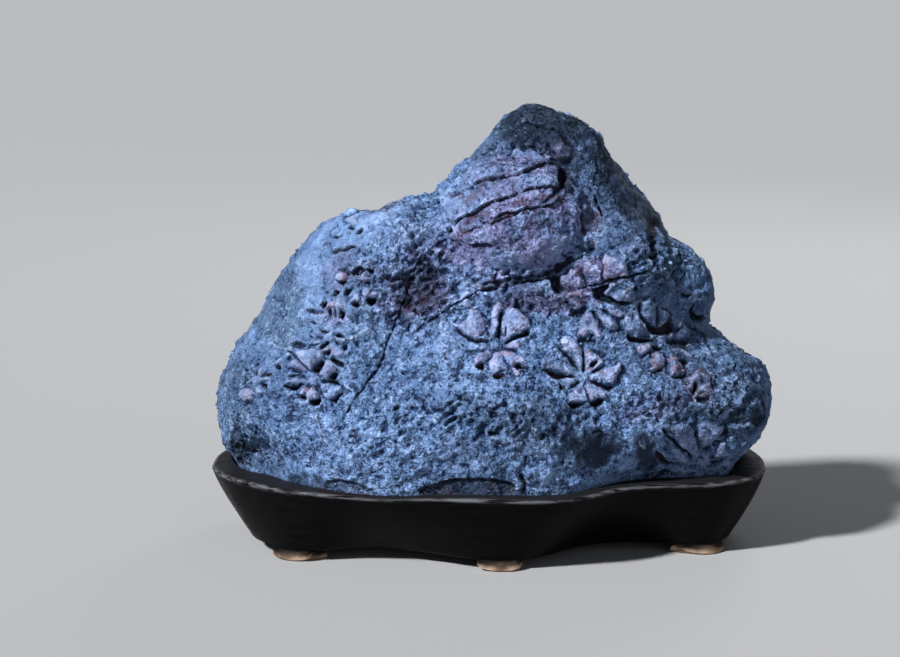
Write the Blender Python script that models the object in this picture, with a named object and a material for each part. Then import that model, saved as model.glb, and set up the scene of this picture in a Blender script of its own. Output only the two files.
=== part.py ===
"""A chrysanthemum stone resting on its carved wooden stand.

The stone is one natural solid: a mountain-shaped boulder whose front carries flower figures in
relief. The stand is carved from one block of wood, with a recess for the stone, a thin raised
rim and five crescent feet. Forms are worked out in millimetres and the meshes are in metres,
with +X to the right, +Y to the back and +Z up. The origin is under the middle, on the table.
"""
import itertools
import math

import bmesh
import bpy
import numpy as np

# Driving dimensions in millimetres. ORIGIN is the point of the drawing that becomes the
# object's origin, below the middle of its bounding box.
ORIGIN = (0.4, -4.65, 0.0)
RECESS_FLOOR = 30.0
STONE_GAP = 0.3
STONE_BASE = RECESS_FLOOR + STONE_GAP
RECESS_SIDE_GAP = 1.0
STAND_UNDERSIDE = 4.8
WALL_CURVE = 1.3
FOOT_WIDTH = 25.0
FOOT_DEPTH = 12.0
FOOT_TOE = 2.4
FOOT_END_LIFT = 2.0
STONE_LOW = (-146.0, -84.0, 26.0)
STONE_HIGH = (148.0, 80.0, 224.0)
STONE_STEP = 3.4
STONE_TRIANGLES = 7700
STONE_CREASE_ANGLE = math.radians(50)
STAND_CREASE_ANGLE = math.radians(40)
STAND_POINTS_PER_SPAN = 2
FOOT_POINTS_PER_SPAN = 4

# Face coordinates: where a viewer in front of the stone sees a point, across to the right and
# up, in millimetres from the point the viewer looks at
AIM = np.array((-21.0, 0.0, 105.0))
VIEW_DISTANCE = 1100.0
VIEW_RISE = math.radians(10)
TOWARD_VIEWER = np.array((0.0, -math.cos(VIEW_RISE), math.sin(VIEW_RISE)))
VIEW_UP = np.array((0.0, math.sin(VIEW_RISE), math.cos(VIEW_RISE)))

# The stone's outline in face coordinates, from the left base over the peak to the right base
OUTLINE = (
    (-100, -160), (-101, -90), (-104, -74), (-109, -64), (-112.5, -60.5), (-115, -52),
    (-117, -40), (-116, -25), (-111.5, -18.5), (-107.5, -9.5), (-103, -3.5), (-97, 5.5),
    (-92.5, 14.5), (-88, 23.5), (-81, 32.5), (-75, 41.5), (-70.5, 47.5), (-63, 53.5),
    (-57, 56.5), (-52.5, 58.5), (-47, 59.5), (-39, 58), (-30, 61), (-22.5, 65), (-15, 67),
    (-7.5, 68), (-6, 71.5), (-3, 75.5), (2, 82), (9, 86), (16, 92.5), (22, 99.5), (28, 106),
    (33, 110.5), (38.5, 113), (47.5, 111.5), (53.5, 108), (61.5, 106), (70.5, 100),
    (74.5, 95.5), (78.5, 89), (84, 82), (92, 71.5), (99, 64.5), (104.5, 57.5), (108.5, 49.5),
    (109.5, 45.5), (115, 43.5), (120.5, 39.5), (127, 32.5), (130.5, 26.5), (132, 19.5),
    (131.5, 12), (130, 5.5), (128.5, 1.5), (134.5, -3.5), (143, -9.5), (153, -15.5),
    (158.5, -21.5), (160, -27.5), (160.5, -35.5), (159.5, -42.5), (157.5, -48.5),
    (153.5, -54.5), (148, -60.5), (142.5, -67), (139, -74), (137, -90), (136, -160),
)

# How deep the body is in front of and behind its middle, and how far in from the outline it
# rounds over, at some heights
BODY_HEIGHTS = (30, 60, 90, 120, 140, 160, 180, 200, 217)
BODY_FRONT = (57, 60, 56, 48, 43, 37, 31, 22, 13)
BODY_BACK = (50, 58, 58, 52, 47, 41, 33, 24, 14)
BODY_ROUNDING = (48, 54, 55, 50, 44, 36, 27, 19, 14)

# Broad swells of the body in millimetres, in front and behind, and how far apart they lie
SWELL_FRONT = 1.2
SWELL_BACK = 3.0
SWELL_SPACING = 42.0
SMALL_SWELL_SPACING = 19.0

# How softly the outline and the flat base meet the rest
OUTLINE_BLEND = 3.0
BASE_BLEND = 5.0

# The natural skin over everything: height and spacing of its coarser and finer lumps
SKIN_COARSE = (0.9, 9.0)
SKIN_FINE = (0.45, 4.6)

# Rounded masses that grow out of the body: centre, radii, and how softly they join it
LUMPS = {
    "belly": ((0, -12, 54), (80, 62, 64), 14),
    "left belly": ((-50, -14, 52), (46, 55, 54), 14),
    "dome": ((11, -26, 163), (39, 27, 29), 4),
    "crown": ((24, -4, 190), (31, 22, 26), 6),
    "left shoulder": ((-44, -16, 146), (32, 28, 24), 14),
    "rough bump": ((62, -28, 142), (25, 22, 22), 9),
    "right shoulder": ((94, -9, 131), (18, 26, 23), 5),
    "right base": ((112, -8, 68), (27, 42, 38), 9),
    "back swell": ((-38, 18, 84), (70, 52, 58), 16),
    "back ridge": ((48, 20, 128), (34, 34, 58), 14),
}

# Rounded hollows that bite into it
HOLLOWS = {
    "right slope": ((96, -56, 182), (30, 24, 32), 18),
    "below right shoulder": ((100, -44, 112), (8, 14, 9), 6),
    "left foot": ((-118, -46, 46), (16, 16, 13), 8),
    "right foot": ((90, -71, 32), (44, 32, 22), 12),
    "smooth hollow": ((56, -72, 50), (17, 12, 13), 8),
    "back valley": ((10, 66, 150), (20, 20, 48), 12),
}

# Flower figures: centre in face coordinates, the height petals stand up, then petals as
# (angle in degrees, length, width), grooves as (angle, start, end, width) and pits as
# (offset across, offset up, half width, half height)
FLOWERS = {
    "great": dict(
        centre=(23, -8.3), rise=3.0,
        petals=((139, 19, 10), (92, 19, 4.5), (46.5, 19, 11), (-4, 11.5, 4), (-36, 18.5, 6),
                (-90, 14.7, 8.5), (-137, 14, 5), (-172, 12, 3.2)),
        grooves=((78, 2.5, 17, 2.4), (24, 4, 18, 2.8), (-158, 4, 17, 1.6), (112, 3, 12, 1.6)),
        pits=((9, -2, 1.4, 1.2), (11.5, -11, 2.0, 1.8), (15.5, -12, 1.7, 1.5),
              (0.5, -15.5, 3.0, 2.4), (-7.5, -11, 2.0, 1.7))),
    "lower": dict(
        centre=(67.5, -24.3), rise=3.0,
        petals=((150, 27, 12), (116.6, 25, 7.5), (71.6, 16, 5.7), (38.7, 11.5, 3.2),
                (12.8, 19, 6.4), (-55, 14, 7), (-113, 13.4, 7), (-166, 11, 3.2), (-140, 8, 2.2)),
        grooves=((175, 4, 22, 4.2), (129.5, 4, 22, 3.4), (96, 2.5, 15, 2.4), (-23.6, 4, 16, 3.6)),
        pits=((6.5, -13.5, 2.3, 1.6), (-3.5, -13.5, 2.8, 1.6), (-10.5, -4.5, 1.9, 1.6))),
    "upper": dict(
        centre=(70.5, 12.3), rise=2.6,
        petals=((38, 14.7, 5), (13, 22, 7), (-19, 16.6, 5), (-52, 19, 6.4), (-102, 18.5, 9),
                (-153, 14, 4.4), (165, 15, 7)),
        grooves=((-5, 5, 22, 2.6), (-29, 4, 10, 2.0), (-66, 4, 15, 2.4), (25, 4, 13, 2.0)),
        pits=((-12, 1, 1.9, 1.5), (-0.5, -17, 3.8, 3.4))),
    "right": dict(
        centre=(105.5, -5.8), rise=2.8,
        petals=((115, 20, 8), (77, 16, 4.8), (24, 16, 6.4), (-33, 18, 6), (-60, 20, 7.5),
                (-101, 15, 6), (-123, 14, 4), (-153, 14.7, 6), (158, 14, 5)),
        grooves=((94, 6, 17, 1.6), (127.6, 4, 17, 2.6), (54.5, 4, 15, 3.8), (-7, 6, 15, 3.2),
                 (-75, 4, 19, 1.8), (176, 3, 17, 3.2)),
        pits=((-0.5, 5, 4.2, 2.2), (11.5, -11, 1.7, 1.5), (-0.5, -14, 1.8, 1.6))),
    "rim": dict(
        centre=(124.5, -67.8), rise=2.8,
        petals=((123, 22, 12), (67.5, 20, 10), (37.7, 15, 5), (-3, 17, 3.4), (-171, 12, 2.8),
                (153, 16, 6)),
        grooves=((135, 6, 27, 2.8), (93, 5, 19, 1.8), (10, 4, 16, 2.2), (177, 4, 12, 2.0)),
        pits=()),
    "left": dict(
        centre=(-69, -24.3), rise=2.5,
        petals=((100.5, 15, 10.5), (27.5, 14, 6.3), (-37, 14, 8.4), (-85, 12, 6.3),
                (-125, 10.5, 4), (-168, 11, 2.6), (163, 12, 3.5), (138, 13, 5.6)),
        grooves=((62, 3, 9, 4.0), (-2, 4, 14, 3.4), (-151, 5, 13, 3.4), (173, 3, 11, 1.6)),
        pits=((10, -12, 1.9, 1.6), (15, -8, 1.8, 1.6), (1, -12.5, 2.3, 1.4),
              (-5.5, -10.5, 1.9, 1.4))),
    "far left": dict(
        centre=(-97.5, -23.8), rise=2.1,
        petals=((-109, 15, 5.2), (-76, 10, 4), (-20, 10, 3.6), (18, 11, 3.6), (62, 11, 4),
                (132, 10, 4), (172, 9, 3)),
        grooves=((12, 2, 8, 2.0), (-38, 2, 9, 2.4), (76, 4, 8, 1.6)),
        pits=((-4.8, -15.5, 1.9, 1.4), (-5.5, -0.5, 1.3, 1.1), (-5.5, 4, 1.3, 1.1))),
    "left small": dict(
        centre=(-59.5, -4.3), rise=1.7,
        petals=((145, 8, 3), (70, 8, 3), (20, 9, 3), (-30, 8, 3), (-75, 8, 3.4), (-115, 8, 3.4),
                (180, 8, 3)),
        grooves=(),
        pits=((-3, 2.5, 2.5, 1.1), (6.2, 1, 2.4, 1.1), (-4.5, -4, 2.8, 1.5), (4.5, -4, 2.4, 1.2),
              (2.5, -12, 3.4, 2.4), (-15, -2.5, 4.2, 1.8))),
}

# The small boss in the middle of a flower, the shallow dish a flower lies in, and how a petal
# widens and climbs along its length
BOSS_RISE = 0.5
BOSS_RADIUS = 2.6
DISH_DEPTH = 1.1
PETAL_BROADEST = 0.70
PETAL_ROOT_RISE = 0.15

# Knobs, the round ends of petals that stand up: across, up, half width, half height, rise
KNOBS = (
    (-49, 57.5, 3.4, 3.2, 2.6), (-49, 53, 3.2, 2.8, 2.4), (-55, 54.8, 2.0, 2.4, 1.8),
    (-57, 48.8, 3.2, 2.2, 1.6),
    (-55, 26.3, 3.0, 2.8, 2.4), (-43, 25.8, 3.0, 2.6, 2.2), (-41, 17.8, 3.6, 3.2, 2.6),
    (-48, 15.3, 3.2, 3.0, 2.4), (-55.5, 15.3, 3.0, 2.8, 2.2), (-57.5, 10.3, 3.4, 3.8, 2.4),
    (59.5, 24.3, 4.6, 4.4, 3.0), (71, 25.3, 4.4, 4.0, 3.0), (86, 26.5, 6.8, 3.4, 2.4),
    (124.5, -28.3, 5.8, 8.2, 3.6),
)

# Pits that belong to no petal: across, up, half width, half height, depth
PITS = (
    (-50, 50.8, 1.8, 1.4, 1.8), (-45.5, 49.8, 1.8, 1.4, 1.8), (-59, 50.3, 1.6, 1.0, 1.2),
    (-57.5, 46.2, 1.8, 1.0, 1.2), (-39.5, 13.8, 2.2, 1.8, 2.0), (-47.5, 12, 2.0, 1.6, 2.0),
    (-63, 12.3, 1.9, 1.6, 1.8), (-54, 22.5, 1.9, 1.6, 1.8), (-57, 5.3, 2.6, 2.0, 1.8),
    (-52.5, 29, 2.6, 1.6, 1.4), (-43.5, 29, 2.6, 1.6, 1.4), (53.5, 20.8, 3.0, 5.2, 5.0),
    (114, -26, 4.0, 6.0, 2.0), (121, 8.5, 5.0, 6.0, 4.0),
)

# Cracks, creases and bedding lines across the face: width, depth, how far the side to the left
# of the line's run stands proud, then the line's points in face coordinates
CREASES = {
    "dome underside": (4.2, 3.6, 1.5, (
        (8.5, 23.5), (20.5, 19.5), (30, 21.5), (41, 24.5), (50.5, 27.5), (57.5, 32.5),
        (65.5, 40.5), (73, 43))),
    "crown seam": (4.5, 2.8, 0.8, (
        (2, 80), (10, 86.5), (25, 90.5), (37, 92), (47.5, 89.5), (54, 87), (64, 79))),
    "upper bedding": (2.2, 1.6, 0.8, (
        (4.5, 68.5), (15.5, 72.5), (24.5, 75.5), (34.5, 77), (45, 81), (50.5, 82.5))),
    "middle bedding": (2.6, 2.4, 1.2, (
        (-0.5, 53), (10, 57), (19.5, 61.5), (31.5, 65.5), (38, 68.5), (47.5, 70.5), (54, 70))),
    "red bedding": (2.8, 2.2, 1.0, (
        (19.5, 53.5), (26, 56.5), (32, 57.5), (41, 60.5), (49, 63.5), (54, 67.5))),
    "crown crack": (2.0, 1.4, 0.0, (
        (34.5, 107), (39.5, 103), (46, 100), (51.5, 99), (56, 97.5), (60, 92.5), (64, 88.5))),
    "right groove": (3.4, 1.8, 0.0, ((66.5, 65.5), (67, 53), (67.5, 45))),
    "far right groove": (2.8, 1.4, 0.0, ((71.5, 67.5), (74.5, 59.5), (77, 56))),
    "fissure": (2.2, 2.2, 0.8, (
        (-12.5, 1.5), (-2.5, 9.5), (5, 13.5), (15, 19.5), (25, 21.5), (45, 24.5), (55, 26.5))),
    "right fissure": (2.2, 3.2, 1.2, ((62.5, 18.5), (75, 22.5), (85, 24.5), (100, 29))),
    "bump crease": (5.0, 3.0, 0.0, ((101, 57), (102, 45.5), (103, 31))),
    "long crack": (1.8, 1.2, 0.4, (
        (-55, -47), (-50, -36), (-40.5, -23.5), (-33.5, -13.5), (-28, 2), (-22, 16.5),
        (-16, 33), (-10.5, 43))),
    "left crack": (1.6, 1.0, 0.0, (
        (-82, -10), (-71, -20), (-61, -25.5), (-53.5, -32), (-49, -33.5))),
    "great petal shadow": (2.8, 2.2, 0.0, ((2, 1.3), (7.5, -5), (12, -7.2), (19, -6.2))),
    "upper left slot": (3.0, 2.4, 0.0, ((-58.5, 37.8), (-48.5, 41.3))),
    "bottom cleft": (2.6, 2.2, 0.0, ((35, -73), (37.5, -78), (36.5, -86))),
    "green chip": (9.0, 2.6, 0.0, ((-88, 14), (-84, 21), (-80, 30))),
}

# The broad shallow valley that runs down the face from the notch
VALLEY = ((-6.5, 70), (-10, 39), (-20, 24), (-27.5, 9), (-35, -11), (-50, -36))
VALLEY_WIDTH = 16.0
VALLEY_DEPTH = 5.0

# The stand's rim, anticlockwise from the left end: across, back, height. The base outline
# below has one point under each, and is drawn in further between the feet than at them.
RIM = (
    (-140.5, -2, 36.8), (-138.6, -16, 37), (-129.6, -36, 37.6), (-109, -55, 37.5),
    (-90, -64.5, 37), (-72, -70, 36.2), (-50, -75, 35.6), (-30, -76, 36.4), (-8, -78.5, 37),
    (12, -80.5, 36.8), (30, -78.5, 36.2), (46, -71, 36.8), (60, -60, 37.5), (78, -54, 37.7),
    (103, -51, 37.6), (122, -42, 37.5), (133, -28, 37.5), (137, -8, 37.4), (137, 12, 37.4),
    (131, 33, 37.5), (113, 49, 37.5), (88, 56, 37.5), (64, 58, 37.3), (38, 64, 37),
    (8, 70, 36.8), (-22, 71, 36.8), (-50, 66, 37), (-76, 61, 37.3), (-104, 57, 37.5),
    (-125, 44, 37.4), (-138, 22, 37),
)
BASE = (
    (-122, -2), (-121, -15), (-115, -35), (-101, -50), (-86, -54.5), (-70, -51), (-52, -49.5),
    (-32, -57), (-10, -68), (11, -69.5), (27, -60), (42, -46), (58, -39), (77, -37.5),
    (99, -42), (111, -37), (117, -26), (120, -8), (120, 11), (114, 30), (101, 43), (84, 44),
    (62, 42), (38, 49), (8, 58), (-22, 59), (-50, 50), (-74, 46), (-98, 49), (-111, 39),
    (-121, 20),
)

# Where the feet stand on the base outline
FEET = ((-98, -51.5), (2, -70), (104, -41), (100, 43), (-100, 48))

# The rim from the recess outwards, as (in from the edge, above it), then how far down the wall
# its rings lie, and how far in the underside starts
RIM_RINGS = ((2.2, 0.35), (0.6, 0.0), (0.0, -0.9))
WALL_RINGS = (0.12, 0.38, 0.70, 0.96)
UNDERSIDE_EDGE = (0.985, 0.975, 1)
UNDERSIDE_INNER = (0.5, 0.5, 1)
RECESS_MIDDLE = (-2.0, 0.0)
FOOT_TIP = 2.0
FOOT_INNER_FLARE = 0.2

# The foot's shape from the table up: height, how much of the toe's flare, and width
FOOT_RINGS = ((0.0, 0.8, 0.72), (0.5, 1.0, 1.0), (2.6, 0.4, 0.97), (8.0, 0.0, 0.94))

STONE_COLOUR = (0.20, 0.25, 0.34, 1.0)
WOOD_COLOUR = (0.020, 0.016, 0.014, 1.0)


def smoothstep(low, high, value):
    t = np.clip((value - low) / (high - low), 0.0, 1.0)
    return t * t * (3.0 - 2.0 * t)


def smooth_union(a, b, blend):
    h = np.clip(0.5 + 0.5 * (b - a) / blend, 0.0, 1.0)
    return b + (a - b) * h - blend * h * (1.0 - h)


def smooth_cut(a, b, blend):
    return -smooth_union(-a, -b, blend)


def gradient_noise(points, spacing, seed):
    """Smooth noise between about -1 and 1 whose lumps are `spacing` millimetres apart."""
    rng = np.random.default_rng(seed)
    table = rng.permutation(256)
    gradients = rng.normal(size=(256, 3))
    gradients /= np.linalg.norm(gradients, axis=1)[:, None]
    scaled = points / spacing
    cell = np.floor(scaled).astype(int)
    within = scaled - cell
    fade = within ** 3 * (within * (within * 6 - 15) + 10)
    total = np.zeros(len(points))
    for corner in itertools.product((0, 1), repeat=3):
        c = (cell + corner) & 255
        slot = table[(table[(table[c[:, 0]] + c[:, 1]) & 255] + c[:, 2]) & 255]
        weight = np.prod(np.where(corner, fade, 1 - fade), axis=1)
        total += weight * np.einsum("ij,ij->i", gradients[slot], within - corner)
    return 1.6 * total


def face_coordinates(points):
    offset = points - AIM
    scale = VIEW_DISTANCE / (VIEW_DISTANCE - offset @ TOWARD_VIEWER)
    return offset[:, 0] * scale, (offset @ VIEW_UP) * scale


def line_distance(across, up, line):
    """Distance to a line of straight pieces, the side it lies on, and the way along, 0 to 1."""
    nearest = np.full(across.shape, np.inf)
    side = np.zeros(across.shape)
    along = np.zeros(across.shape)
    pieces = len(line) - 1
    for number, ((x0, y0), (x1, y1)) in enumerate(zip(line, line[1:])):
        dx = x1 - x0
        dy = y1 - y0
        t = np.clip(((across - x0) * dx + (up - y0) * dy) / (dx * dx + dy * dy), 0.0, 1.0)
        distance = np.hypot(across - x0 - t * dx, up - y0 - t * dy)
        closer = distance < nearest
        nearest = np.where(closer, distance, nearest)
        side = np.where(closer, np.sign(dx * (up - y0) - dy * (across - x0)), side)
        along = np.where(closer, (number + t) / pieces, along)
    return nearest, side, along


class OutlineMap:
    """How far inside the outline a face point lies, looked up on a grid of 1 mm."""

    LOW = (-150, -130)
    SIZE = (340, 270)
    SOFTENING = 8

    def __init__(self, outline):
        x, y = np.meshgrid(np.arange(self.SIZE[0]) + self.LOW[0],
                           np.arange(self.SIZE[1]) + self.LOW[1], indexing="ij")
        across = x.ravel().astype(float)
        up = y.ravel().astype(float)
        distance = line_distance(across, up, outline)[0]
        inside = np.zeros(across.shape, bool)
        for (x0, y0), (x1, y1) in zip(outline, outline[1:]):
            crosses = (y0 > up) != (y1 > up)
            at = x0 + (up - y0) * (x1 - x0) / ((y1 - y0) or 1.0)
            inside ^= crosses & (across < at)
        depth = np.where(inside, distance, -distance).reshape(self.SIZE)
        self.exact = depth
        self.soft = depth + smoothstep(4, 20, depth) * (self.blurred(depth) - depth)

    def blurred(self, grid):
        reach = np.arange(-2 * self.SOFTENING, 2 * self.SOFTENING + 1)
        weights = np.exp(-0.5 * (reach / self.SOFTENING) ** 2)
        weights /= weights.sum()
        padded = np.pad(grid, 2 * self.SOFTENING, mode="edge")
        rows = np.array([np.convolve(row, weights, "valid") for row in padded])
        return np.array([np.convolve(column, weights, "valid") for column in rows.T]).T

    def look_up(self, grid, across, up):
        x = np.clip(across - self.LOW[0], 0, self.SIZE[0] - 1.001)
        y = np.clip(up - self.LOW[1], 0, self.SIZE[1] - 1.001)
        i = x.astype(int)
        j = y.astype(int)
        fx = x - i
        fy = y - j
        low = grid[i, j] * (1 - fx) + grid[i + 1, j] * fx
        high = grid[i, j + 1] * (1 - fx) + grid[i + 1, j + 1] * fx
        return low * (1 - fy) + high * fy


OUTLINE_MAP = OutlineMap(OUTLINE)


def at_height(height, values):
    """A body measure at each height, rounded off between the heights it is given at."""
    return sum(np.interp(height + shift, BODY_HEIGHTS, values) for shift in (-8, -3, 3, 8)) / 4


def rounded_distance(parts, radii):
    """About the distance to an ellipsoid or a rounded slab, negative inside."""
    level = np.sqrt(sum(part ** 2 for part in parts))
    slope = np.sqrt(sum((part / radius) ** 2 for part, radius in zip(parts, radii)))
    return level * (level - 1.0) / slope


def ellipsoid(points, centre, radii):
    parts = [np.maximum(np.abs(points[:, i] - centre[i]) / radii[i], 0.02) for i in range(3)]
    return rounded_distance(parts, radii)


def stone_field(points):
    """About the distance in millimetres to the smooth stone, negative inside it."""
    across, up = face_coordinates(points)
    height = points[:, 2]
    rounding = at_height(height, BODY_ROUNDING)
    front = points[:, 1] < 0
    half = np.where(front, at_height(height, BODY_FRONT), at_height(height, BODY_BACK))
    soft_depth = OUTLINE_MAP.look_up(OUTLINE_MAP.soft, across, up)
    inward = np.maximum(1.0 - soft_depth / rounding, 0.0)
    deep = np.maximum(np.abs(points[:, 1]) / half, 0.02)
    field = rounded_distance((inward, deep), (rounding, half))
    for centre, radii, blend in LUMPS.values():
        field = smooth_union(field, ellipsoid(points, centre, radii), blend)
    for centre, radii, blend in HOLLOWS.values():
        field = smooth_cut(field, -ellipsoid(points, centre, radii), blend)
    unevenness = np.where(front, SWELL_FRONT, SWELL_BACK) * smoothstep(0, 25, soft_depth)
    field += unevenness * gradient_noise(points, SWELL_SPACING, 11)
    field += 0.5 * unevenness * gradient_noise(points, SMALL_SWELL_SPACING, 12)
    exact_depth = OUTLINE_MAP.look_up(OUTLINE_MAP.exact, across, up)
    field = smooth_cut(field, -exact_depth, OUTLINE_BLEND)
    return smooth_cut(field, STONE_BASE - height, BASE_BLEND)


def surface_net(field, low, high, step):
    """A mesh of quads on the surface where the field is zero: vertices and faces."""
    axes = [np.arange(a, b + step, step) for a, b in zip(low, high)]
    corners = np.stack(np.meshgrid(*axes, indexing="ij"), -1)
    values = field(corners.reshape(-1, 3)).reshape(corners.shape[:3])
    cells = tuple(n - 1 for n in values.shape)
    crossing_sum = np.zeros(cells + (3,))
    crossings = np.zeros(cells)
    faces = []
    number = np.full(cells, -1)

    def window(offset, shrink):
        return tuple(slice(o, o + n) for o, n in zip(offset, shrink))

    edges = []
    for axis in range(3):
        ahead = tuple(1 if i == axis else 0 for i in range(3))
        others = [i for i in range(3) if i != axis]
        for a, b in itertools.product((0, 1), repeat=2):
            start = [0, 0, 0]
            start[others[0]] = a
            start[others[1]] = b
            end = [s + d for s, d in zip(start, ahead)]
            v0 = values[window(start, cells)]
            v1 = values[window(end, cells)]
            crossed = (v0 < 0) != (v1 < 0)
            t = np.where(crossed, v0 / np.where(crossed, v0 - v1, 1.0), 0.0)[..., None]
            p0 = corners[window(start, cells)]
            p1 = corners[window(end, cells)]
            crossing_sum += np.where(crossed[..., None], p0 + t * (p1 - p0), 0.0)
            crossings += crossed
        edges.append((axis, ahead, others))
    used = crossings > 0
    number[used] = np.arange(used.sum())
    vertices = crossing_sum[used] / crossings[used][:, None]
    for axis, ahead, others in edges:
        size = [n - 2 for n in values.shape]
        size[axis] += 1
        start = [1, 1, 1]
        start[axis] = 0
        v0 = values[window(start, size)]
        v1 = values[window([s + d for s, d in zip(start, ahead)], size)]
        ring = []
        for a, b in ((0, 0), (1, 0), (1, 1), (0, 1)):
            cell = list(start)
            cell[others[0]] -= a
            cell[others[1]] -= b
            ring.append(number[window(cell, size)])
        ring = np.stack(ring, -1)
        leaving = (v0 < 0) & (v1 >= 0)
        entering = (v0 >= 0) & (v1 < 0)
        if axis == 1:
            leaving, entering = entering, leaving
        faces.append(ring[leaving])
        faces.append(ring[entering][:, ::-1])
    return vertices, np.concatenate(faces)


def field_gradient(field, points, reach=0.4):
    steps = np.eye(3) * reach
    slopes = [field(points + s) - field(points - s) for s in steps]
    return np.stack(slopes, -1) / (2 * reach)


def settled_on_surface(field, points):
    """Moves points onto the field's zero surface."""
    for _ in range(3):
        slope = field_gradient(field, points)
        length = np.maximum(np.einsum("ij,ij->i", slope, slope), 0.2)
        points = points - slope * np.clip(field(points) / length, -1.5, 1.5)[:, None]
    return points


def petal(x, y, length, width, rise):
    """A teardrop petal along +x: low at its root, highest near its broad round end."""
    t = x / length
    rootward = np.clip(t / PETAL_BROADEST, 0.0, 1.0) ** 0.8
    past = np.maximum(t - PETAL_BROADEST, 0) / (1 - PETAL_BROADEST)
    tipward = np.sqrt(np.clip(1 - past ** 2, 0, 1))
    half = 0.5 * width * rootward * tipward
    shoulder = smoothstep(-1.0, 1.3, half - np.abs(y)) * ((t > 0) & (t < 1))
    crown = 1.0 - 0.3 * np.clip(y / np.maximum(half, 0.1), -1, 1) ** 2
    climb = PETAL_ROOT_RISE + (1 - PETAL_ROOT_RISE) * smoothstep(0.05, 0.75, t)
    return rise * climb * crown * shoulder


def spot(across, up, half_width, half_height):
    """1 in the middle of an oval, 0 from its edge out, with steep sides."""
    return smoothstep(1.15, 0.45, np.hypot(across / half_width, up / half_height))


def flower_relief(across, up, flower):
    """Height of one flower figure over the ground it grows from."""
    dx = across - flower["centre"][0]
    dy = up - flower["centre"][1]
    reach = max(length for _, length, _ in flower["petals"])
    radius = np.hypot(dx, dy)
    height = np.zeros(across.shape)
    for angle, length, width in flower["petals"]:
        c = math.cos(math.radians(angle))
        s = math.sin(math.radians(angle))
        rise = flower["rise"] * min(1.0, 0.55 + 0.07 * width)
        height = np.maximum(height, petal(c * dx + s * dy, c * dy - s * dx, length, width, rise))
    height += BOSS_RISE * smoothstep(BOSS_RADIUS, 0.46 * BOSS_RADIUS, radius)
    for angle, start, end, width in flower["grooves"]:
        c = math.cos(math.radians(angle))
        s = math.sin(math.radians(angle))
        along = (c * dx + s * dy - start) / (end - start)
        half = 0.5 * width * np.sqrt(np.clip(4 * along * (1 - along), 0, 1))
        cut = smoothstep(-0.3, 0.9, half - np.abs(c * dy - s * dx)) * ((along > 0) & (along < 1))
        height -= (1.2 + 0.5 * width) * cut * np.clip(height + 1.2, 0, 1)
    for x, y, half_width, half_height in flower["pits"]:
        height -= (1.0 + 0.6 * half_width) * spot(dx - x, dy - y, half_width, half_height)
    dish = DISH_DEPTH * np.exp(-1.6 * (radius / reach) ** 2)
    return height - dish


def face_relief(across, up):
    """Height of everything that stands up or is cut in on the stone's face."""
    height = np.zeros(across.shape)
    distance = line_distance(across, up, VALLEY)[0]
    height -= VALLEY_DEPTH * np.exp(-(distance / VALLEY_WIDTH) ** 2)
    for width, depth, lip, line in CREASES.values():
        near = np.nonzero((np.abs(across - np.mean([p[0] for p in line])) < 80)
                          & (np.abs(up - np.mean([p[1] for p in line])) < 80))[0]
        distance, side, along = line_distance(across[near], up[near], line)
        ends = smoothstep(0, 0.08, along) * smoothstep(1, 0.92, along)
        groove = depth * smoothstep(0.6 * width, 0.1 * width, distance) * (0.25 + 0.75 * ends)
        proud = lip * (side > 0) * np.exp(-distance / 7) * ends
        height[near] += proud - groove
    for flower in FLOWERS.values():
        reach = max(length for _, length, _ in flower["petals"]) + 12
        near = np.nonzero(np.hypot(across - flower["centre"][0], up - flower["centre"][1]) < reach)
        height[near] += flower_relief(across[near], up[near], flower)
    for x, y, half_width, half_height, rise in KNOBS:
        round_top = 1 - np.hypot((across - x) / half_width, (up - y) / half_height) ** 2
        height += rise * np.sqrt(np.clip(round_top, 0, 1))
    for x, y, half_width, half_height, depth in PITS:
        height -= depth * spot(across - x, up - y, half_width, half_height)
    return height


def weathering(points):
    """Uneven natural skin all round the stone, finer than its masses."""
    coarse = SKIN_COARSE[0] * gradient_noise(points, SKIN_COARSE[1], 21)
    fine = SKIN_FINE[0] * gradient_noise(points, SKIN_FINE[1], 22)
    return coarse + fine


def displaced(points, normals):
    """The skin with its relief, which fades out on surfaces turned away from the viewer."""
    across, up = face_coordinates(points)
    to_viewer = AIM + VIEW_DISTANCE * TOWARD_VIEWER - points
    to_viewer /= np.linalg.norm(to_viewer, axis=1)[:, None]
    facing = smoothstep(0.02, 0.25, np.einsum("ij,ij->i", normals, to_viewer))
    height = facing * face_relief(across, up) + weathering(points)
    in_recess = smoothstep(STONE_BASE + 5, STONE_BASE + 16, points[:, 2])
    height = np.where(height > 0, height * in_recess, height * (0.2 + 0.8 * in_recess))
    flat_base = smoothstep(STONE_BASE, STONE_BASE + 4, points[:, 2])
    moved = points + normals * (height * flat_base)[:, None]
    moved[:, 2] = np.maximum(moved[:, 2], STONE_BASE)
    return moved


def material(name, colour, roughness):
    made = bpy.data.materials.new(name)
    made.use_nodes = True
    shader = made.node_tree.nodes["Principled BSDF"]
    shader.inputs["Base Color"].default_value = colour
    shader.inputs["Roughness"].default_value = roughness
    shader.inputs["Metallic"].default_value = 0.0
    return made


def mesh_object(name, vertices, faces):
    """An object from vertices in the drawing's millimetres."""
    mesh = bpy.data.meshes.new(name)
    places = (np.asarray(vertices) - ORIGIN) * 0.001
    mesh.from_pydata(places.tolist(), [], [list(map(int, face)) for face in faces])
    made = bpy.data.objects.new(name, mesh)
    bpy.context.collection.objects.link(made)
    return made


def apply_modifiers(target):
    """Replaces an object's mesh by the mesh that its modifiers make."""
    graph = bpy.context.evaluated_depsgraph_get()
    target.data = bpy.data.meshes.new_from_object(target.evaluated_get(graph))
    target.modifiers.clear()


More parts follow.
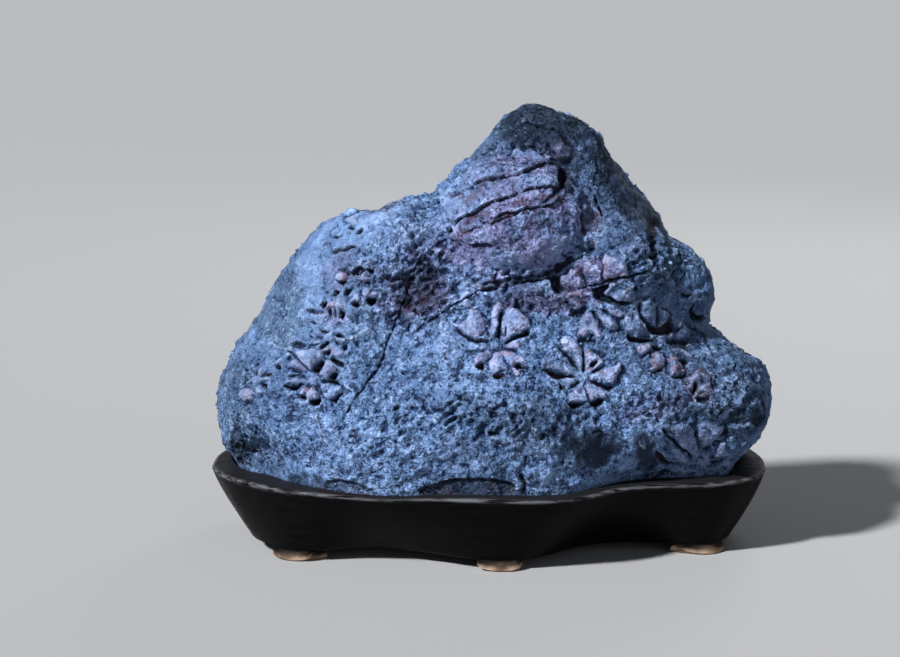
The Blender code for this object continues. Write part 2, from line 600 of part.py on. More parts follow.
def make_stone():
    vertices, faces = surface_net(stone_field, STONE_LOW, STONE_HIGH, STONE_STEP)
    stone = mesh_object("stone", settled_on_surface(stone_field, vertices), faces)
    smooth = stone.modifiers.new("Even skin", "SUBSURF")
    smooth.levels = 1
    smooth.render_levels = 1
    apply_modifiers(stone)
    mesh = stone.data
    count = len(mesh.vertices)
    points = np.empty(count * 3, np.float32)
    normals = np.empty(count * 3, np.float32)
    mesh.vertices.foreach_get("co", points)
    mesh.vertices.foreach_get("normal", normals)
    drawn = points.reshape(-1, 3) * 1000.0 + ORIGIN
    moved = (displaced(drawn, normals.reshape(-1, 3).astype(float)) - ORIGIN) * 0.001
    mesh.vertices.foreach_set("co", moved.astype(np.float32).ravel())
    mesh.update()
    fewer = stone.modifiers.new("Fewer faces", "DECIMATE")
    fewer.ratio = STONE_TRIANGLES / (2 * len(mesh.polygons))
    fewer.use_collapse_triangulate = True
    apply_modifiers(stone)
    stone.data.shade_smooth()
    stone.data.set_sharp_from_angle(angle=STONE_CREASE_ANGLE)
    stone.data.materials.append(material("stone", STONE_COLOUR, 0.85))
    return stone


def curve_through(points, per_span):
    """Points on a smooth closed curve through the given ones."""
    ring = np.array(points, float)
    before = np.roll(ring, 1, axis=0)
    after = np.roll(ring, -1, axis=0)
    second = np.roll(ring, -2, axis=0)
    curve = []
    for k in range(len(ring)):
        for t in np.arange(per_span) / per_span:
            curve.append(0.5 * (2 * ring[k] + (after[k] - before[k]) * t
                                + (2 * before[k] - 5 * ring[k] + 4 * after[k] - second[k]) * t ** 2
                                + (3 * ring[k] - before[k] - 3 * after[k] + second[k]) * t ** 3))
    return np.array(curve)


def recess_edge(rim, height):
    """Where the recess wall stands at some height: just clear of the stone, all round."""
    outer = np.column_stack((rim[:, 0], rim[:, 1], height))
    centre = np.column_stack((np.tile(RECESS_MIDDLE, (len(rim), 1)), height))
    near = np.zeros(len(rim))
    far = np.ones(len(rim))
    for _ in range(24):
        middle = 0.5 * (near + far)
        outside = stone_field(outer + (centre - outer) * middle[:, None]) > RECESS_SIDE_GAP
        near = np.where(outside, middle, near)
        far = np.where(outside, far, middle)
    return outer + (centre - outer) * near[:, None]


def wall_ring(rim, base, down):
    """A ring of the outer wall, from 0 at the rim to 1 at the base: steepest near the rim."""
    height = rim[:, 2] * (1 - down) + STAND_UNDERSIDE * down
    plan = rim[:, :2] + (base - rim[:, :2]) * down ** WALL_CURVE
    return np.column_stack((plan, height))


def inset_ring(rim, inset, height):
    """The rim's outline moved in by some millimetres."""
    tangent = np.roll(rim, -1, axis=0)[:, :2] - np.roll(rim, 1, axis=0)[:, :2]
    tangent /= np.linalg.norm(tangent, axis=1)[:, None]
    inward = np.column_stack((-tangent[:, 1], tangent[:, 0]))
    return np.column_stack((rim[:, :2] + inward * inset, height))


def lofted(name, rings):
    """A closed solid through rings of equal length, with a fan over each end."""
    count = len(rings[0])
    vertices = np.concatenate(rings + [rings[0].mean(0)[None], rings[-1].mean(0)[None]])
    faces = []
    for level in range(len(rings) - 1):
        for k in range(count):
            n = (k + 1) % count
            faces.append((level * count + k, level * count + n,
                          (level + 1) * count + n, (level + 1) * count + k))
    first = len(vertices) - 2
    last = len(vertices) - 1
    end = (len(rings) - 1) * count
    for k in range(count):
        n = (k + 1) % count
        faces.append((n, k, first))
        faces.append((end + k, end + n, last))
    made = mesh_object(name, vertices, faces)
    shape = bmesh.new()
    shape.from_mesh(made.data)
    bmesh.ops.recalc_face_normals(shape, faces=shape.faces)
    shape.to_mesh(made.data)
    shape.free()
    return made


def foot_outline(base, place):
    """Plan of a crescent foot: its outer edge follows the base, its inner edge bows inwards."""
    middle = np.argmin(np.hypot(base[:, 0] - place[0], base[:, 1] - place[1]))
    ring = np.roll(base, len(base) // 2 - middle, axis=0)
    spread = np.hypot(ring[:, 0] - base[middle, 0], ring[:, 1] - base[middle, 1])
    run = ring[spread < 0.5 * FOOT_WIDTH]
    inward = -base[middle] / np.linalg.norm(base[middle])
    bow = np.sqrt(np.clip(1 - np.linspace(-1, 1, len(run)) ** 2, 0, 1))
    inner = run + inward * (FOOT_TIP + FOOT_DEPTH * bow)[:, None]
    return run, inner[::-1], inward, bow


def make_foot(base, place):
    """One foot: a flat worn tread, a flared toe and a neck that runs up into the block."""
    outer, inner, inward, bow = foot_outline(base, place)
    lift = FOOT_END_LIFT * (1 - np.concatenate((bow, bow[::-1])))
    rings = []
    for height, toe, width in FOOT_RINGS:
        spread = FOOT_TOE * toe * bow[:, None]
        flare = FOOT_INNER_FLARE * spread
        plan = np.concatenate((outer - inward * spread, inner + inward * flare))
        middle = plan.mean(0)
        level = height + lift * (height > 0)
        rings.append(np.column_stack((middle + (plan - middle) * width, level)))
    return lofted("foot", rings)


def make_feet():
    """All the feet as one guide object for the block to be joined with."""
    base = curve_through(BASE, FOOT_POINTS_PER_SPAN)
    joined = bmesh.new()
    for place in FEET:
        foot = make_foot(base, place)
        joined.from_mesh(foot.data)
        bpy.data.objects.remove(foot)
    mesh = bpy.data.meshes.new("stand_feet")
    joined.to_mesh(mesh)
    joined.free()
    feet = bpy.data.objects.new("stand_feet", mesh)
    bpy.context.collection.objects.link(feet)
    feet.hide_render = True
    feet.display_type = "WIRE"
    return feet


def make_stand():
    rim = curve_through(RIM, STAND_POINTS_PER_SPAN)
    base = curve_through(BASE, STAND_POINTS_PER_SPAN)
    height = rim[:, 2]
    top_edge = recess_edge(rim, height + 1.0)
    floor_edge = recess_edge(rim, np.full(len(rim), STONE_BASE + 3.0))
    floor_edge[:, 2] = RECESS_FLOOR
    underside = np.column_stack((base, np.full(len(base), STAND_UNDERSIDE)))
    inner_floor = 0.5 * (floor_edge + np.array((*RECESS_MIDDLE, RECESS_FLOOR)))
    rings = [inner_floor, floor_edge, top_edge]
    rings += [inset_ring(rim, inset, height + above) for inset, above in RIM_RINGS]
    rings += [wall_ring(rim, base, down) for down in WALL_RINGS]
    rings += [underside * UNDERSIDE_EDGE, underside * UNDERSIDE_INNER]
    stand = lofted("stand", rings)
    feet = stand.modifiers.new("Feet", "BOOLEAN")
    feet.operation = "UNION"
    feet.object = make_feet()
    stand.data.shade_smooth()
    stand.data.set_sharp_from_angle(angle=STAND_CREASE_ANGLE)
    stand.data.materials.append(material("stand_wood", WOOD_COLOUR, 0.38))
    return stand


for old in list(bpy.data.objects):
    bpy.data.objects.remove(old)
make_stone()
make_stand()
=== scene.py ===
"""Looks for the chrysanthemum stone on its carved stand.

The stone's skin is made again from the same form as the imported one, with finer relief, and the
stand again with a finer wall and rim. Forms are worked out in millimetres and the meshes are in
metres, with +X to the right, +Y to the back and +Z up.
"""

import itertools
import math

import bmesh
import bpy
import numpy as np
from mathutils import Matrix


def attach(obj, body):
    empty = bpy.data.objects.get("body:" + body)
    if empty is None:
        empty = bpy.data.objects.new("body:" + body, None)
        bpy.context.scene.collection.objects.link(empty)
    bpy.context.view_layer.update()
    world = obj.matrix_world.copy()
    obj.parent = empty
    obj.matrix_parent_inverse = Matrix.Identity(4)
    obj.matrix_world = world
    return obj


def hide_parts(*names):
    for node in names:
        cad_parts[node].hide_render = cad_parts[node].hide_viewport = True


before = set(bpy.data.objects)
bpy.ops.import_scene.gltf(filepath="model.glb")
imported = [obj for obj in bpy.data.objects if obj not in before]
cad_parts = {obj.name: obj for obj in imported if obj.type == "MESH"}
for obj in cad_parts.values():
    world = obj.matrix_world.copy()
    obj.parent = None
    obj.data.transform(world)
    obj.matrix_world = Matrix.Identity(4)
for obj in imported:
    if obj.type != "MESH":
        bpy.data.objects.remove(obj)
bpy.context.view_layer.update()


def pairs(*numbers):
    """Points from a run of numbers: across, up, across, up and so on."""
    return tuple(zip(numbers[::2], numbers[1::2]))


# Driving dimensions in millimetres. ORIGIN is the point of the drawing that becomes the
# object's origin, below the middle of its bounding box.
ORIGIN = (0.4, -4.65, 0.0)
RECESS_FLOOR = 30.0
STONE_GAP = 0.3
STONE_BASE = RECESS_FLOOR + STONE_GAP
RECESS_SIDE_GAP = 1.0
STAND_UNDERSIDE = 4.8
WALL_CURVE = 1.3
FOOT_WIDTH = 25.0
FOOT_DEPTH = 12.0
FOOT_TOE = 2.4
FOOT_END_LIFT = 2.0
STONE_LOW = (-146.0, -84.0, 26.0)
STONE_HIGH = (148.0, 80.0, 224.0)
STONE_STEP = 2.5
STONE_TRIANGLES = 196000
STAND_POINTS_PER_SPAN = 10
FOOT_POINTS_PER_SPAN = 12
RECESS_MIDDLE = (-2.0, 0.0, RECESS_FLOOR)
RIM_WIDTH = 3.0
WOOD_CREASE_ANGLE = 40
FLOOR_REACH = 60000
METRES = 0.001
MILLIMETRES = 1000.0

# Face coordinates: where a viewer in front of the stone sees a point, across to the right and
# up, in millimetres from the point the viewer looks at
AIM = np.array((-21.0, 0.0, 105.0))
VIEW_DISTANCE = 1100.0
VIEW_RISE = math.radians(10)
TOWARD_VIEWER = np.array((0.0, -math.cos(VIEW_RISE), math.sin(VIEW_RISE)))
VIEW_UP = np.array((0.0, math.sin(VIEW_RISE), math.cos(VIEW_RISE)))

# The stone's outline in face coordinates, from the left base over the peak to the right base
OUTLINE = (
    (-100, -160), (-101, -90), (-104, -74), (-109, -64), (-112.5, -60.5), (-115, -52),
    (-117, -40), (-116, -25), (-111.5, -18.5), (-107.5, -9.5), (-103, -3.5), (-97, 5.5),
    (-92.5, 14.5), (-88, 23.5), (-81, 32.5), (-75, 41.5), (-70.5, 47.5), (-63, 53.5),
    (-57, 56.5), (-52.5, 58.5), (-47, 59.5), (-39, 58), (-30, 61), (-22.5, 65), (-15, 67),
    (-7.5, 68), (-6, 71.5), (-3, 75.5), (2, 82), (9, 86), (16, 92.5), (22, 99.5), (28, 106),
    (33, 110.5), (38.5, 113), (47.5, 111.5), (53.5, 108), (61.5, 106), (70.5, 100),
    (74.5, 95.5), (78.5, 89), (84, 82), (92, 71.5), (99, 64.5), (104.5, 57.5), (108.5, 49.5),
    (109.5, 45.5), (115, 43.5), (120.5, 39.5), (127, 32.5), (130.5, 26.5), (132, 19.5),
    (131.5, 12), (130, 5.5), (128.5, 1.5), (134.5, -3.5), (143, -9.5), (153, -15.5),
    (158.5, -21.5), (160, -27.5), (160.5, -35.5), (159.5, -42.5), (157.5, -48.5),
    (153.5, -54.5), (148, -60.5), (142.5, -67), (139, -74), (137, -90), (136, -160),
)

# How deep the body is in front of and behind its middle, and how far in from the outline it
# rounds over, at some heights
BODY_HEIGHTS = (30, 60, 90, 120, 140, 160, 180, 200, 217)
BODY_FRONT = (57, 60, 56, 48, 43, 37, 31, 22, 13)
BODY_BACK = (50, 58, 58, 52, 47, 41, 33, 24, 14)
BODY_ROUNDING = (48, 54, 55, 50, 44, 36, 27, 19, 14)

# Rounded masses that grow out of the body: centre, radii, and how softly they join it
LUMPS = {
    "belly": ((0, -12, 54), (80, 62, 64), 14),
    "left belly": ((-50, -14, 52), (46, 55, 54), 14),
    "dome": ((11, -26, 163), (39, 27, 29), 4),
    "crown": ((24, -4, 190), (31, 22, 26), 6),
    "left shoulder": ((-44, -16, 146), (32, 28, 24), 14),
    "rough bump": ((62, -28, 142), (25, 22, 22), 9),
    "right shoulder": ((94, -9, 131), (18, 26, 23), 5),
    "right base": ((112, -8, 68), (27, 42, 38), 9),
    "back swell": ((-38, 18, 84), (70, 52, 58), 16),
    "back ridge": ((48, 20, 128), (34, 34, 58), 14),
}

# Rounded hollows that bite into it
HOLLOWS = {
    "right slope": ((96, -56, 182), (30, 24, 32), 18),
    "below right shoulder": ((100, -44, 112), (8, 14, 9), 6),
    "left foot": ((-118, -46, 46), (16, 16, 13), 8),
    "right foot": ((90, -71, 32), (44, 32, 22), 12),
    "smooth hollow": ((56, -72, 50), (17, 12, 13), 8),
    "back valley": ((10, 66, 150), (20, 20, 48), 12),
}

# Heights that a body measure is averaged over, how far the body swells unevenly, and how softly
# it is cut off at its outline and at its base
BODY_SHIFTS = (-8, -3, 3, 8)
SWELL_FRONT = 1.2
SWELL_BACK = 3.0
OUTLINE_BLEND = 3.0
BASE_BLEND = 5.0

# Flower figures and the sheets of the dome, in face coordinates. Each has its centre, its petals
# as (how high the outer end stands, how pale it is, how pink its edge is, outline), and the
# hollows between and beyond the petals as (depth, how dark they are painted by stain and painted
# shade, outline). "star" is how high the centre stands and "boost" makes one figure stronger than
# the others. "foot" is the flats and pits along the foot of the stone, without petals.
FLOWERS = {
    "great": dict(centre=(22.5, -7.5), petals=(
        (2.8, 1.0, 0.3, pairs(0.5, 2.5, 4.5, 2.2, 6, 3, 8, 4.5, 9.5, 7, 10, 9.5, 11, 10, 14, 9,
            15.5, 7, 17, 5.5, 17.5, 3, 17, 0, 16, -2.5, 15, -3.5, 11.5, -4, 9, -3, 7.5, -1.5,
            5, 0.3, 2.5, 1.2)),
        (1.6, 0.8, 0.1, pairs(5.8, 12, 5.5, 15, 6, 17.5, 9.5, 19, 9, 16, 9.8, 13, 11, 11, 14, 11,
            13, 9.8, 9, 10.5)),
        (2.6, 0.9, 0.2, pairs(21.5, -4.5, 20, 0, 20.2, 4, 20.5, 8, 22, 11, 24, 13.5, 25.5, 13.5,
            26.5, 11, 25, 8, 24.5, 4, 24, 1, 23, -3)),
        (2.8, 0.9, 0.3, pairs(26, -4.8, 26.5, 0, 27, 4, 27.8, 8, 29, 10.3, 31, 10.8, 34, 10, 36, 8,
            38.5, 6, 40, 3.5, 40, 0.5, 38, -0.5, 36, -1, 33, -2.3, 30, -3.5, 27.5, -5)),
        (2.2, 0.8, 0.5, pairs(26.5, -8.5, 29, -7.3, 31.5, -6, 34, -5.8, 35, -7, 34.5, -9, 32, -9.5,
            29, -9.5)),
        (2.4, 0.8, 0.5, pairs(25, -11, 28, -10.5, 31, -12, 34.5, -13.5, 37.5, -15, 38, -17,
            35, -17, 33, -18, 31.5, -18.5, 29.5, -17, 27, -14.5)),
        (1.6, 0.5, 1.0, pairs(30.5, -19, 33, -19.5, 35, -22.5, 33.5, -23.5, 31.5, -21.5)),
        (2.4, 0.9, 0.3, pairs(22.5, -11, 20.5, -15, 19.5, -18, 20, -20.5, 22.5, -21.5, 26, -20.5,
            28.5, -20.5, 28.5, -18.5, 26.5, -14.5, 25, -11)),
        (2.4, 0.9, 0.3, pairs(22, -10.5, 17, -11, 13.5, -12.8, 11.8, -15, 12.5, -17.3, 16, -17,
            18, -16.5, 20, -14.5)),
        (1.8, 0.8, 0.2, pairs(21, -8, 16, -8, 12, -7.5, 12.5, -9.5, 16, -10, 20, -9.3)),
    ), hollows=(
        (2.6, 1.0, pairs(2, -0.5, 6, -3.5, 9, -6, 13, -7, 18.5, -7, 20, -6, 19.5, -5.2, 16, -4.5,
            12, -4.5, 9, -3.5, 6, -1, 3.5, 0.5)),
        (2.0, 0.8, pairs(17.3, 1.5, 18.6, 1, 20.6, -4.6, 21, -5.6, 19.2, -3.6, 17.8, -0.5)),
        (2.2, 0.9, pairs(24.5, 8, 24, 4, 23.3, 0, 22.5, -3.5, 24.8, -5, 25.5, 0, 26.2, 4, 27, 9)),
        (1.6, 0.9, pairs(28.8, 1, 28, -2.5, 26.8, -4.3, 26.6, -2, 27.8, 1)),
        (2.6, 1.0, pairs(26, -8, 28, -5.5, 31, -4, 35, -2.5, 38, -1, 40.3, -1.5, 40, -3.5,
            37.5, -4, 34, -5, 30, -6.5)),
        (1.6, 0.9, pairs(29, -10.2, 30.5, -9.5, 34.5, -10, 34.5, -12, 31.5, -11.3)),
        (2.0, 1.0, pairs(32, -18.5, 34.5, -16.8, 37, -18, 40, -19.8, 39, -21, 35, -20.3, 33, -21)),
        (1.2, 0.9, pairs(29, -22, 30.5, -21.5, 31, -23, 30, -23.5)),
        (2.6, 1.0, pairs(21, -22.3, 24, -21.8, 27, -21.8, 27.6, -23.5, 26, -25.6, 23, -25.6,
            20.8, -24)),
        (2.4, 1.0, pairs(12, -17.5, 16.5, -17, 17.5, -18.5, 16.5, -21, 14.5, -20.5, 12.5, -19)),
        (1.6, 0.9, pairs(20, -9.5, 13.5, -11.3, 12.5, -13, 12.8, -10.6, 16, -10.2)),
        (1.2, 0.8, pairs(22.6, -9.2, 24.5, -10.2, 26.2, -9.4, 24.5, -9.0)),
    )),
    "lower": dict(centre=(67.5, -24), petals=(
        (2.4, 0.25, 0.1, pairs(65, -23.5, 62, -22.5, 58, -21.5, 55, -21, 50, -20, 46, -19.5,
            45.5, -17, 47, -13, 50, -10.5, 53, -9.5, 55.5, -11.5, 58, -14, 60.5, -17.5, 62.5, -20,
            65, -22)),
        (2.8, 0.85, 0.1, pairs(65.5, -20, 63.5, -16, 62.5, -13.5, 59, -10.5, 56.5, -8.5,
            55.5, -5.5, 57, -4, 60, -4, 63, -6, 65, -8.5, 66, -10.5, 66.3, -14, 66, -18)),
        (2.4, 0.6, 0.8, pairs(68.5, -21, 68.2, -16, 68, -12, 69, -9.3, 71, -10.5, 73, -12.5,
            75.5, -14.5, 77, -17, 74, -19, 71, -21)),
        (2.6, 0.6, 0.5, pairs(70.5, -23.5, 75, -21.5, 79, -20, 82, -18.5, 85, -16.5, 86, -18,
            85.5, -21, 84, -23.5, 83, -26, 81.5, -28, 78, -26.5, 74, -25, 71, -24.8)),
        (2.4, 0.6, 0.4, pairs(69, -26.5, 71.5, -27, 74.5, -29.5, 77.5, -32, 78.5, -34, 77, -35,
            73.5, -34.8, 71.5, -36.5, 70, -36, 69, -32, 68.5, -28.5)),
        (2.4, 0.6, 0.2, pairs(67, -26.5, 64, -29, 61.5, -31, 60, -33, 60, -36, 63, -36.5,
            66, -36.2, 69, -36.5, 68.5, -33, 67.5, -29)),
        (1.6, 0.7, 0.1, pairs(64, -24.8, 61, -24, 58, -24.3, 56.5, -25.5, 57.5, -27.3, 60, -27.5,
            62.5, -26)),
    ), hollows=(
        (2.6, 1.0, pairs(44.5, -20, 47, -19.8, 51, -20.5, 56, -21.5, 60, -22, 63, -23, 65, -24.5,
            62, -24.3, 58, -24.5, 55.5, -25.5, 51.5, -24.5, 48.5, -22)),
        (2.6, 1.0, pairs(52.5, -7, 55, -8.5, 58.5, -11, 61.5, -14, 63.5, -17, 65, -20.5, 64, -20.8,
            61.5, -18.5, 60, -15.5, 57.5, -13.8, 55.5, -11, 53, -8.5)),
        (2.2, 0.9, pairs(65.8, -8, 67, -10, 67.7, -13, 67.6, -17, 68.4, -20, 68, -21.8,
            66.3, -21.8, 65.8, -19, 66.3, -15, 66.6, -12)),
        (1.4, 0.9, pairs(69.5, -19, 70, -17, 73, -15.5, 74, -17, 72, -19.5)),
        (1.8, 0.9, pairs(70.5, -22.5, 73, -20, 76, -18.5, 78, -18.3, 76, -20.5, 72.5, -22.5)),
        (2.2, 1.0, pairs(71, -25.5, 73.5, -25.8, 76.5, -27.5, 80, -28, 83, -28.5, 82, -30.5,
            80, -31.8, 77.5, -30.5, 74, -28, 71.5, -26.5)),
        (2.4, 1.0, pairs(69.5, -37, 72, -36.5, 74, -34.8, 78, -35, 77, -37.5, 74.5, -39.5,
            72.5, -40.3, 70.5, -38.5)),
        (2.4, 1.0, pairs(60, -36.5, 63, -37, 68.5, -37, 66, -39, 63, -41, 60, -39.5, 58.5, -38)),
        (1.8, 0.9, pairs(55.5, -26.5, 57, -28, 59.5, -28, 58.5, -30.5, 55.5, -31)),
        (1.8, 0.9, pairs(64.5, -25, 62, -27.5, 59, -30, 60.5, -30.5, 63.5, -28.5, 65.5, -26.5)),
        (1.0, 0.8, pairs(83.2, -23.8, 85.2, -24.5, 85, -25.7, 83.4, -25)),
    )),
    "upper": dict(centre=(71.5, 12.3), petals=(
        (2.0, 0.8, 0.3, pairs(79, 9.5, 82, 9.8, 84.5, 9.5, 86, 8.3, 86.8, 6.5, 85.5, 5.5, 83.5, 6,
            81, 7, 79.5, 8)),
        (2.2, 0.7, 0.1, pairs(73.5, 9.5, 76, 7, 79, 6.5, 82, 5, 84, 2.5, 85, 0, 83, -1, 80.5, -1,
            78, 0, 76.5, 3.5, 74.5, 7)),
        (1.4, 0.35, 0.3, pairs(76.5, 16.5, 78.5, 19, 79.5, 22, 81, 22.7, 83, 22.2, 82.5, 20.5,
            80.5, 18.5, 78.5, 16.7)),
        (1.6, 0.4, 0.2, pairs(81, 16, 84, 17.2, 86.5, 19.5, 89, 20.5, 91.5, 22.5, 92.5, 22, 91, 19,
            90.5, 17, 93, 15.5, 90, 14, 86, 13, 83, 14)),
        (2.6, 0.75, 0.5, pairs(77, 23.8, 76, 26, 76.8, 29, 77, 32, 76, 34, 76.5, 36.5, 78, 38,
            80, 36, 84, 34.5, 88, 33, 89.3, 30, 89, 27.2, 86, 26.2, 82, 25.2, 79, 24.6)),
        (2.2, 0.35, 0.15, pairs(68.3, 21.8, 67, 25, 66.8, 29, 67.3, 33, 69.5, 34.5, 72, 34.5,
            73.5, 32, 75, 28, 75.5, 25, 74.5, 22.9, 72, 21.8)),
        (2.2, 0.4, 0.3, pairs(65.5, 20.3, 60, 20.8, 58, 21.8, 56, 24, 56, 26.5, 58.5, 27, 60, 29.5,
            62.5, 29.5, 65, 27, 65.5, 23)),
        (2.0, 0.45, 0.6, pairs(66.5, 19, 62, 18.8, 59, 18, 58, 16.5, 57, 15.5, 60, 14, 62.5, 12.3,
            64, 11.5, 66, 13, 68, 13.5, 67, 16, 66, 18)),
        (1.8, 0.7, 0.35, pairs(69.5, 9, 67, 6, 65, 4, 65, 0, 64, -3, 67, -4, 70, -2, 73, -3.5,
            75.5, -5, 77, -3, 75, 0, 73.5, 3.5, 71.5, 6.5)),
    ), hollows=(
        (2.0, 0.9, pairs(70.5, 9, 72, 9.3, 73.5, 7, 75.5, 4.5, 77.5, 0.5, 77.3, -1.5, 75.5, 0.5,
            74, 4, 72, 6, 71, 7.5)),
        (2.2, 1.0, pairs(74.5, 10, 76.5, 9.8, 79.5, 8.5, 80, 7.5, 77.5, 7.5, 75.5, 8.5)),
        (1.0, 0.8, pairs(79.6, -1.2, 81.6, -1, 80.6, -2.2)),
        (3.0, 0.9, pairs(70, 19.3, 73, 20.3, 76, 21.3, 79, 22.3, 79.6, 20, 77, 17, 81, 15,
            84, 13.2, 90, 13.5, 92.5, 12.8, 89, 11, 86, 10, 83, 11, 78, 12, 74, 13, 71.5, 15)),
        (2.0, 1.0, pairs(76.5, 18, 77.5, 20.5, 79, 21.8, 79.2, 20.5, 78, 18.5)),
        (2.6, 1.0, pairs(91.5, 20.5, 93, 22, 94.2, 19.5, 94.3, 18, 92.5, 17.5, 91.5, 19)),
        (3.2, 1.0, pairs(66, 19.3, 70, 20.2, 74, 21.1, 78, 22.2, 82, 23.6, 86, 25, 90, 25.4,
            94, 26.1, 97, 27.5, 100, 28.8, 100, 29.6, 96.5, 28.6, 93, 27.4, 89, 26.9, 85.5, 26.1,
            81.5, 25, 77.5, 23.5, 73, 22, 69, 21, 66, 20.2)),
        (1.8, 0.9, pairs(65.5, 29, 67, 27, 68, 23, 68.5, 20, 67.3, 20.5, 66.5, 24, 65.5, 27)),
        (3.6, 1.0, pairs(51, 27, 54.5, 27, 55.5, 25, 56, 22, 58, 20, 60, 19.5, 57, 18.5, 55, 17,
            52.5, 17, 51, 20, 50, 24)),
        (1.6, 1.0, pairs(56.5, 13.5, 58.5, 14.2, 60.5, 12.5, 61.2, 11.2, 59.5, 11.3, 57.5, 12.3)),
        (1.6, 0.6, pairs(59.5, 7, 62, 9.5, 65, 11.5, 68, 11.8, 69.5, 10, 67.5, 7, 65, 5.5, 62, 5)),
        (1.2, 0.6, pairs(65, -5.5, 67, -4.5, 69, -5.5, 70.5, -3, 71.5, -1.5, 72.5, -3, 71.5, -5,
            74, -5.5, 72.5, -7.5, 69, -7.3, 66, -7)),
        (1.4, 0.6, pairs(52, 30.5, 55, 33.5, 60, 34, 60.5, 32, 57, 30.5, 54, 29.5)),
        (1.4, 0.6, pairs(67, 36, 66.5, 39, 69, 42, 72.5, 43, 73, 40.5, 70.5, 38, 70, 35.8)),
    )),
    "right": dict(centre=(107, -4.6), petals=(
        (2.4, 0.35, 0.1, pairs(90.5, 8, 94, 9.5, 95, 6, 97, 2, 99.5, -1.2, 102.5, -4, 98, -3.8,
            94, -3.2, 90, -2.6, 88.3, -2, 87.5, 0, 88.5, 4)),
        (2.2, 0.3, 0.0, pairs(95.3, 13.5, 99, 14.5, 103.4, 12.5, 103.6, 8, 103.6, 3, 102.5, 1.8,
            100, 3.1, 97.8, 4.5, 96.7, 8, 96, 11)),
        (2.0, 0.35, 0.0, pairs(105.2, 10, 107, 9.5, 109.5, 8.5, 110.5, 7, 109.5, 4, 108, 2.6,
            106.3, 1.6, 105.6, 4, 105.4, 7.5)),
        (2.4, 0.5, 0.1, pairs(115, -1, 117, 1.5, 119, 0.5, 120.5, -1, 120.2, -4.3, 117, -4.3,
            113.5, -4)),
        (1.6, 0.9, 0.0, pairs(110.3, -8.8, 113, -9.8, 117, -10.1, 119.7, -11.5, 121.7, -13.6,
            120, -14, 117, -12.5, 113, -11.5, 110.3, -10.5)),
        (2.2, 0.6, 0.7, pairs(110.5, -13, 109.7, -16, 110, -20, 110.8, -22.8, 113.5, -23, 117, -22,
            118, -21.3, 116, -19, 114, -16.5, 113, -14.5, 111.5, -13)),
        (2.2, 0.6, 0.5, pairs(103.5, -11, 105, -11.6, 107, -11.5, 107.6, -14, 107.8, -17,
            106.8, -18.5, 104, -19.3, 101, -20.8, 99.8, -20, 101.3, -18, 99.8, -16.5, 101.3, -14.5,
            101, -12.5)),
        (2.2, 0.8, 0.9, pairs(99.5, -7.5, 101.2, -8.5, 101, -10.3, 98, -12.5, 96, -13.5,
            94.7, -12.5, 93.7, -10, 94.2, -8.5, 96.5, -7.8)),
    ), hollows=(
        (2.8, 0.9, pairs(94.4, 11.8, 95.6, 11.6, 96.3, 8, 97.3, 4.8, 99.8, 2.8, 102.5, 1.4,
            104.5, 1.4, 106.2, 1.2, 108, 2.2, 110, 3.4, 112, 4.8, 113.3, 2.2, 114, 0.8,
            113.2, -1.8, 111, -4.3, 108.6, -3.3, 104.5, -3.2, 102.2, -2.9, 99.7, -0.4, 97.6, 2.8,
            95.6, 6.8, 94.4, 9.4)),
        (1.8, 1.0, pairs(103.8, 11.5, 104.8, 11.5, 105.1, 8, 105.3, 4, 105.4, 1.5, 104, 1.5,
            103.9, 5, 103.9, 9)),
        (1.6, 0.8, pairs(110.6, 8.2, 112, 7.2, 111.4, 5, 110.2, 3.4, 109.7, 4.2, 110.7, 6.8)),
        (2.6, 0.8, pairs(113.5, -4.8, 118, -4.8, 120.2, -5.2, 120.4, -9.3, 117, -9.4, 113.5, -9.4,
            110.5, -7.7, 108.3, -6.6, 110, -5.8, 112, -5.6)),
        (2.6, 0.9, pairs(113.2, -14.6, 117, -14.2, 119.5, -14.4, 120.7, -15.2, 119.6, -17.5,
            118.5, -19, 117, -19.6, 115.2, -17.5)),
        (1.4, 0.9, pairs(120, -14.5, 122, -15, 124.2, -16.7, 121, -15.7)),
        (2.4, 1.0, pairs(110, -23.1, 112, -23.9, 117, -22.9, 118.7, -21.8, 119.2, -24.5,
            117, -25.6, 113, -25.4, 110.4, -24.6)),
        (1.8, 1.0, pairs(107.2, -10.5, 108.2, -10.8, 108.2, -14, 109.2, -16.4, 108.7, -18.4,
            109, -20.4, 110.2, -22.8, 109.5, -23.6, 108, -21.2, 107.6, -18.6, 108.3, -15.6,
            107.6, -13)),
        (2.0, 1.0, pairs(99.6, -20.8, 101, -21.4, 103.5, -20.6, 104.5, -19.4, 106.3, -19.6,
            107.6, -20.3, 106, -21.4, 104, -21.9, 102, -22.6, 100.3, -22.4)),
        (1.6, 0.9, pairs(92.8, -9.5, 92.9, -11.3, 94.4, -13.6, 96.5, -15, 98.2, -13.7, 100.3, -12,
            101.2, -10.8, 98.8, -12.2, 96.5, -14, 94.6, -13, 93.5, -10.6)),
        (3.2, 1.0, pairs(88.3, -3, 89.5, -3, 91.5, -4, 94.5, -4.5, 99, -4.8, 103.5, -5.5,
            103, -6.5, 100, -7, 96, -7.2, 92, -7.2, 89.5, -6.8, 88.5, -5.5)),
        (3.2, 1.0, pairs(101.5, -10, 102.5, -8.5, 104.5, -7.8, 106.5, -8.5, 107.5, -10, 105, -10.5,
            103, -10.2)),
        (1.4, 0.9, pairs(121.6, 1.6, 124, -0.3, 126.7, -2.3, 128.7, -5, 129.7, -8, 130.7, -11,
            132.2, -14, 131.2, -14.2, 129.6, -11.3, 128.6, -8.3, 127.6, -5.3, 126, -3, 123.6, -1)),
        (3.4, 1.0, pairs(120, 9, 121.6, 11, 122.8, 13.2, 122.2, 8.2, 124, 6.2, 127.5, 7.3,
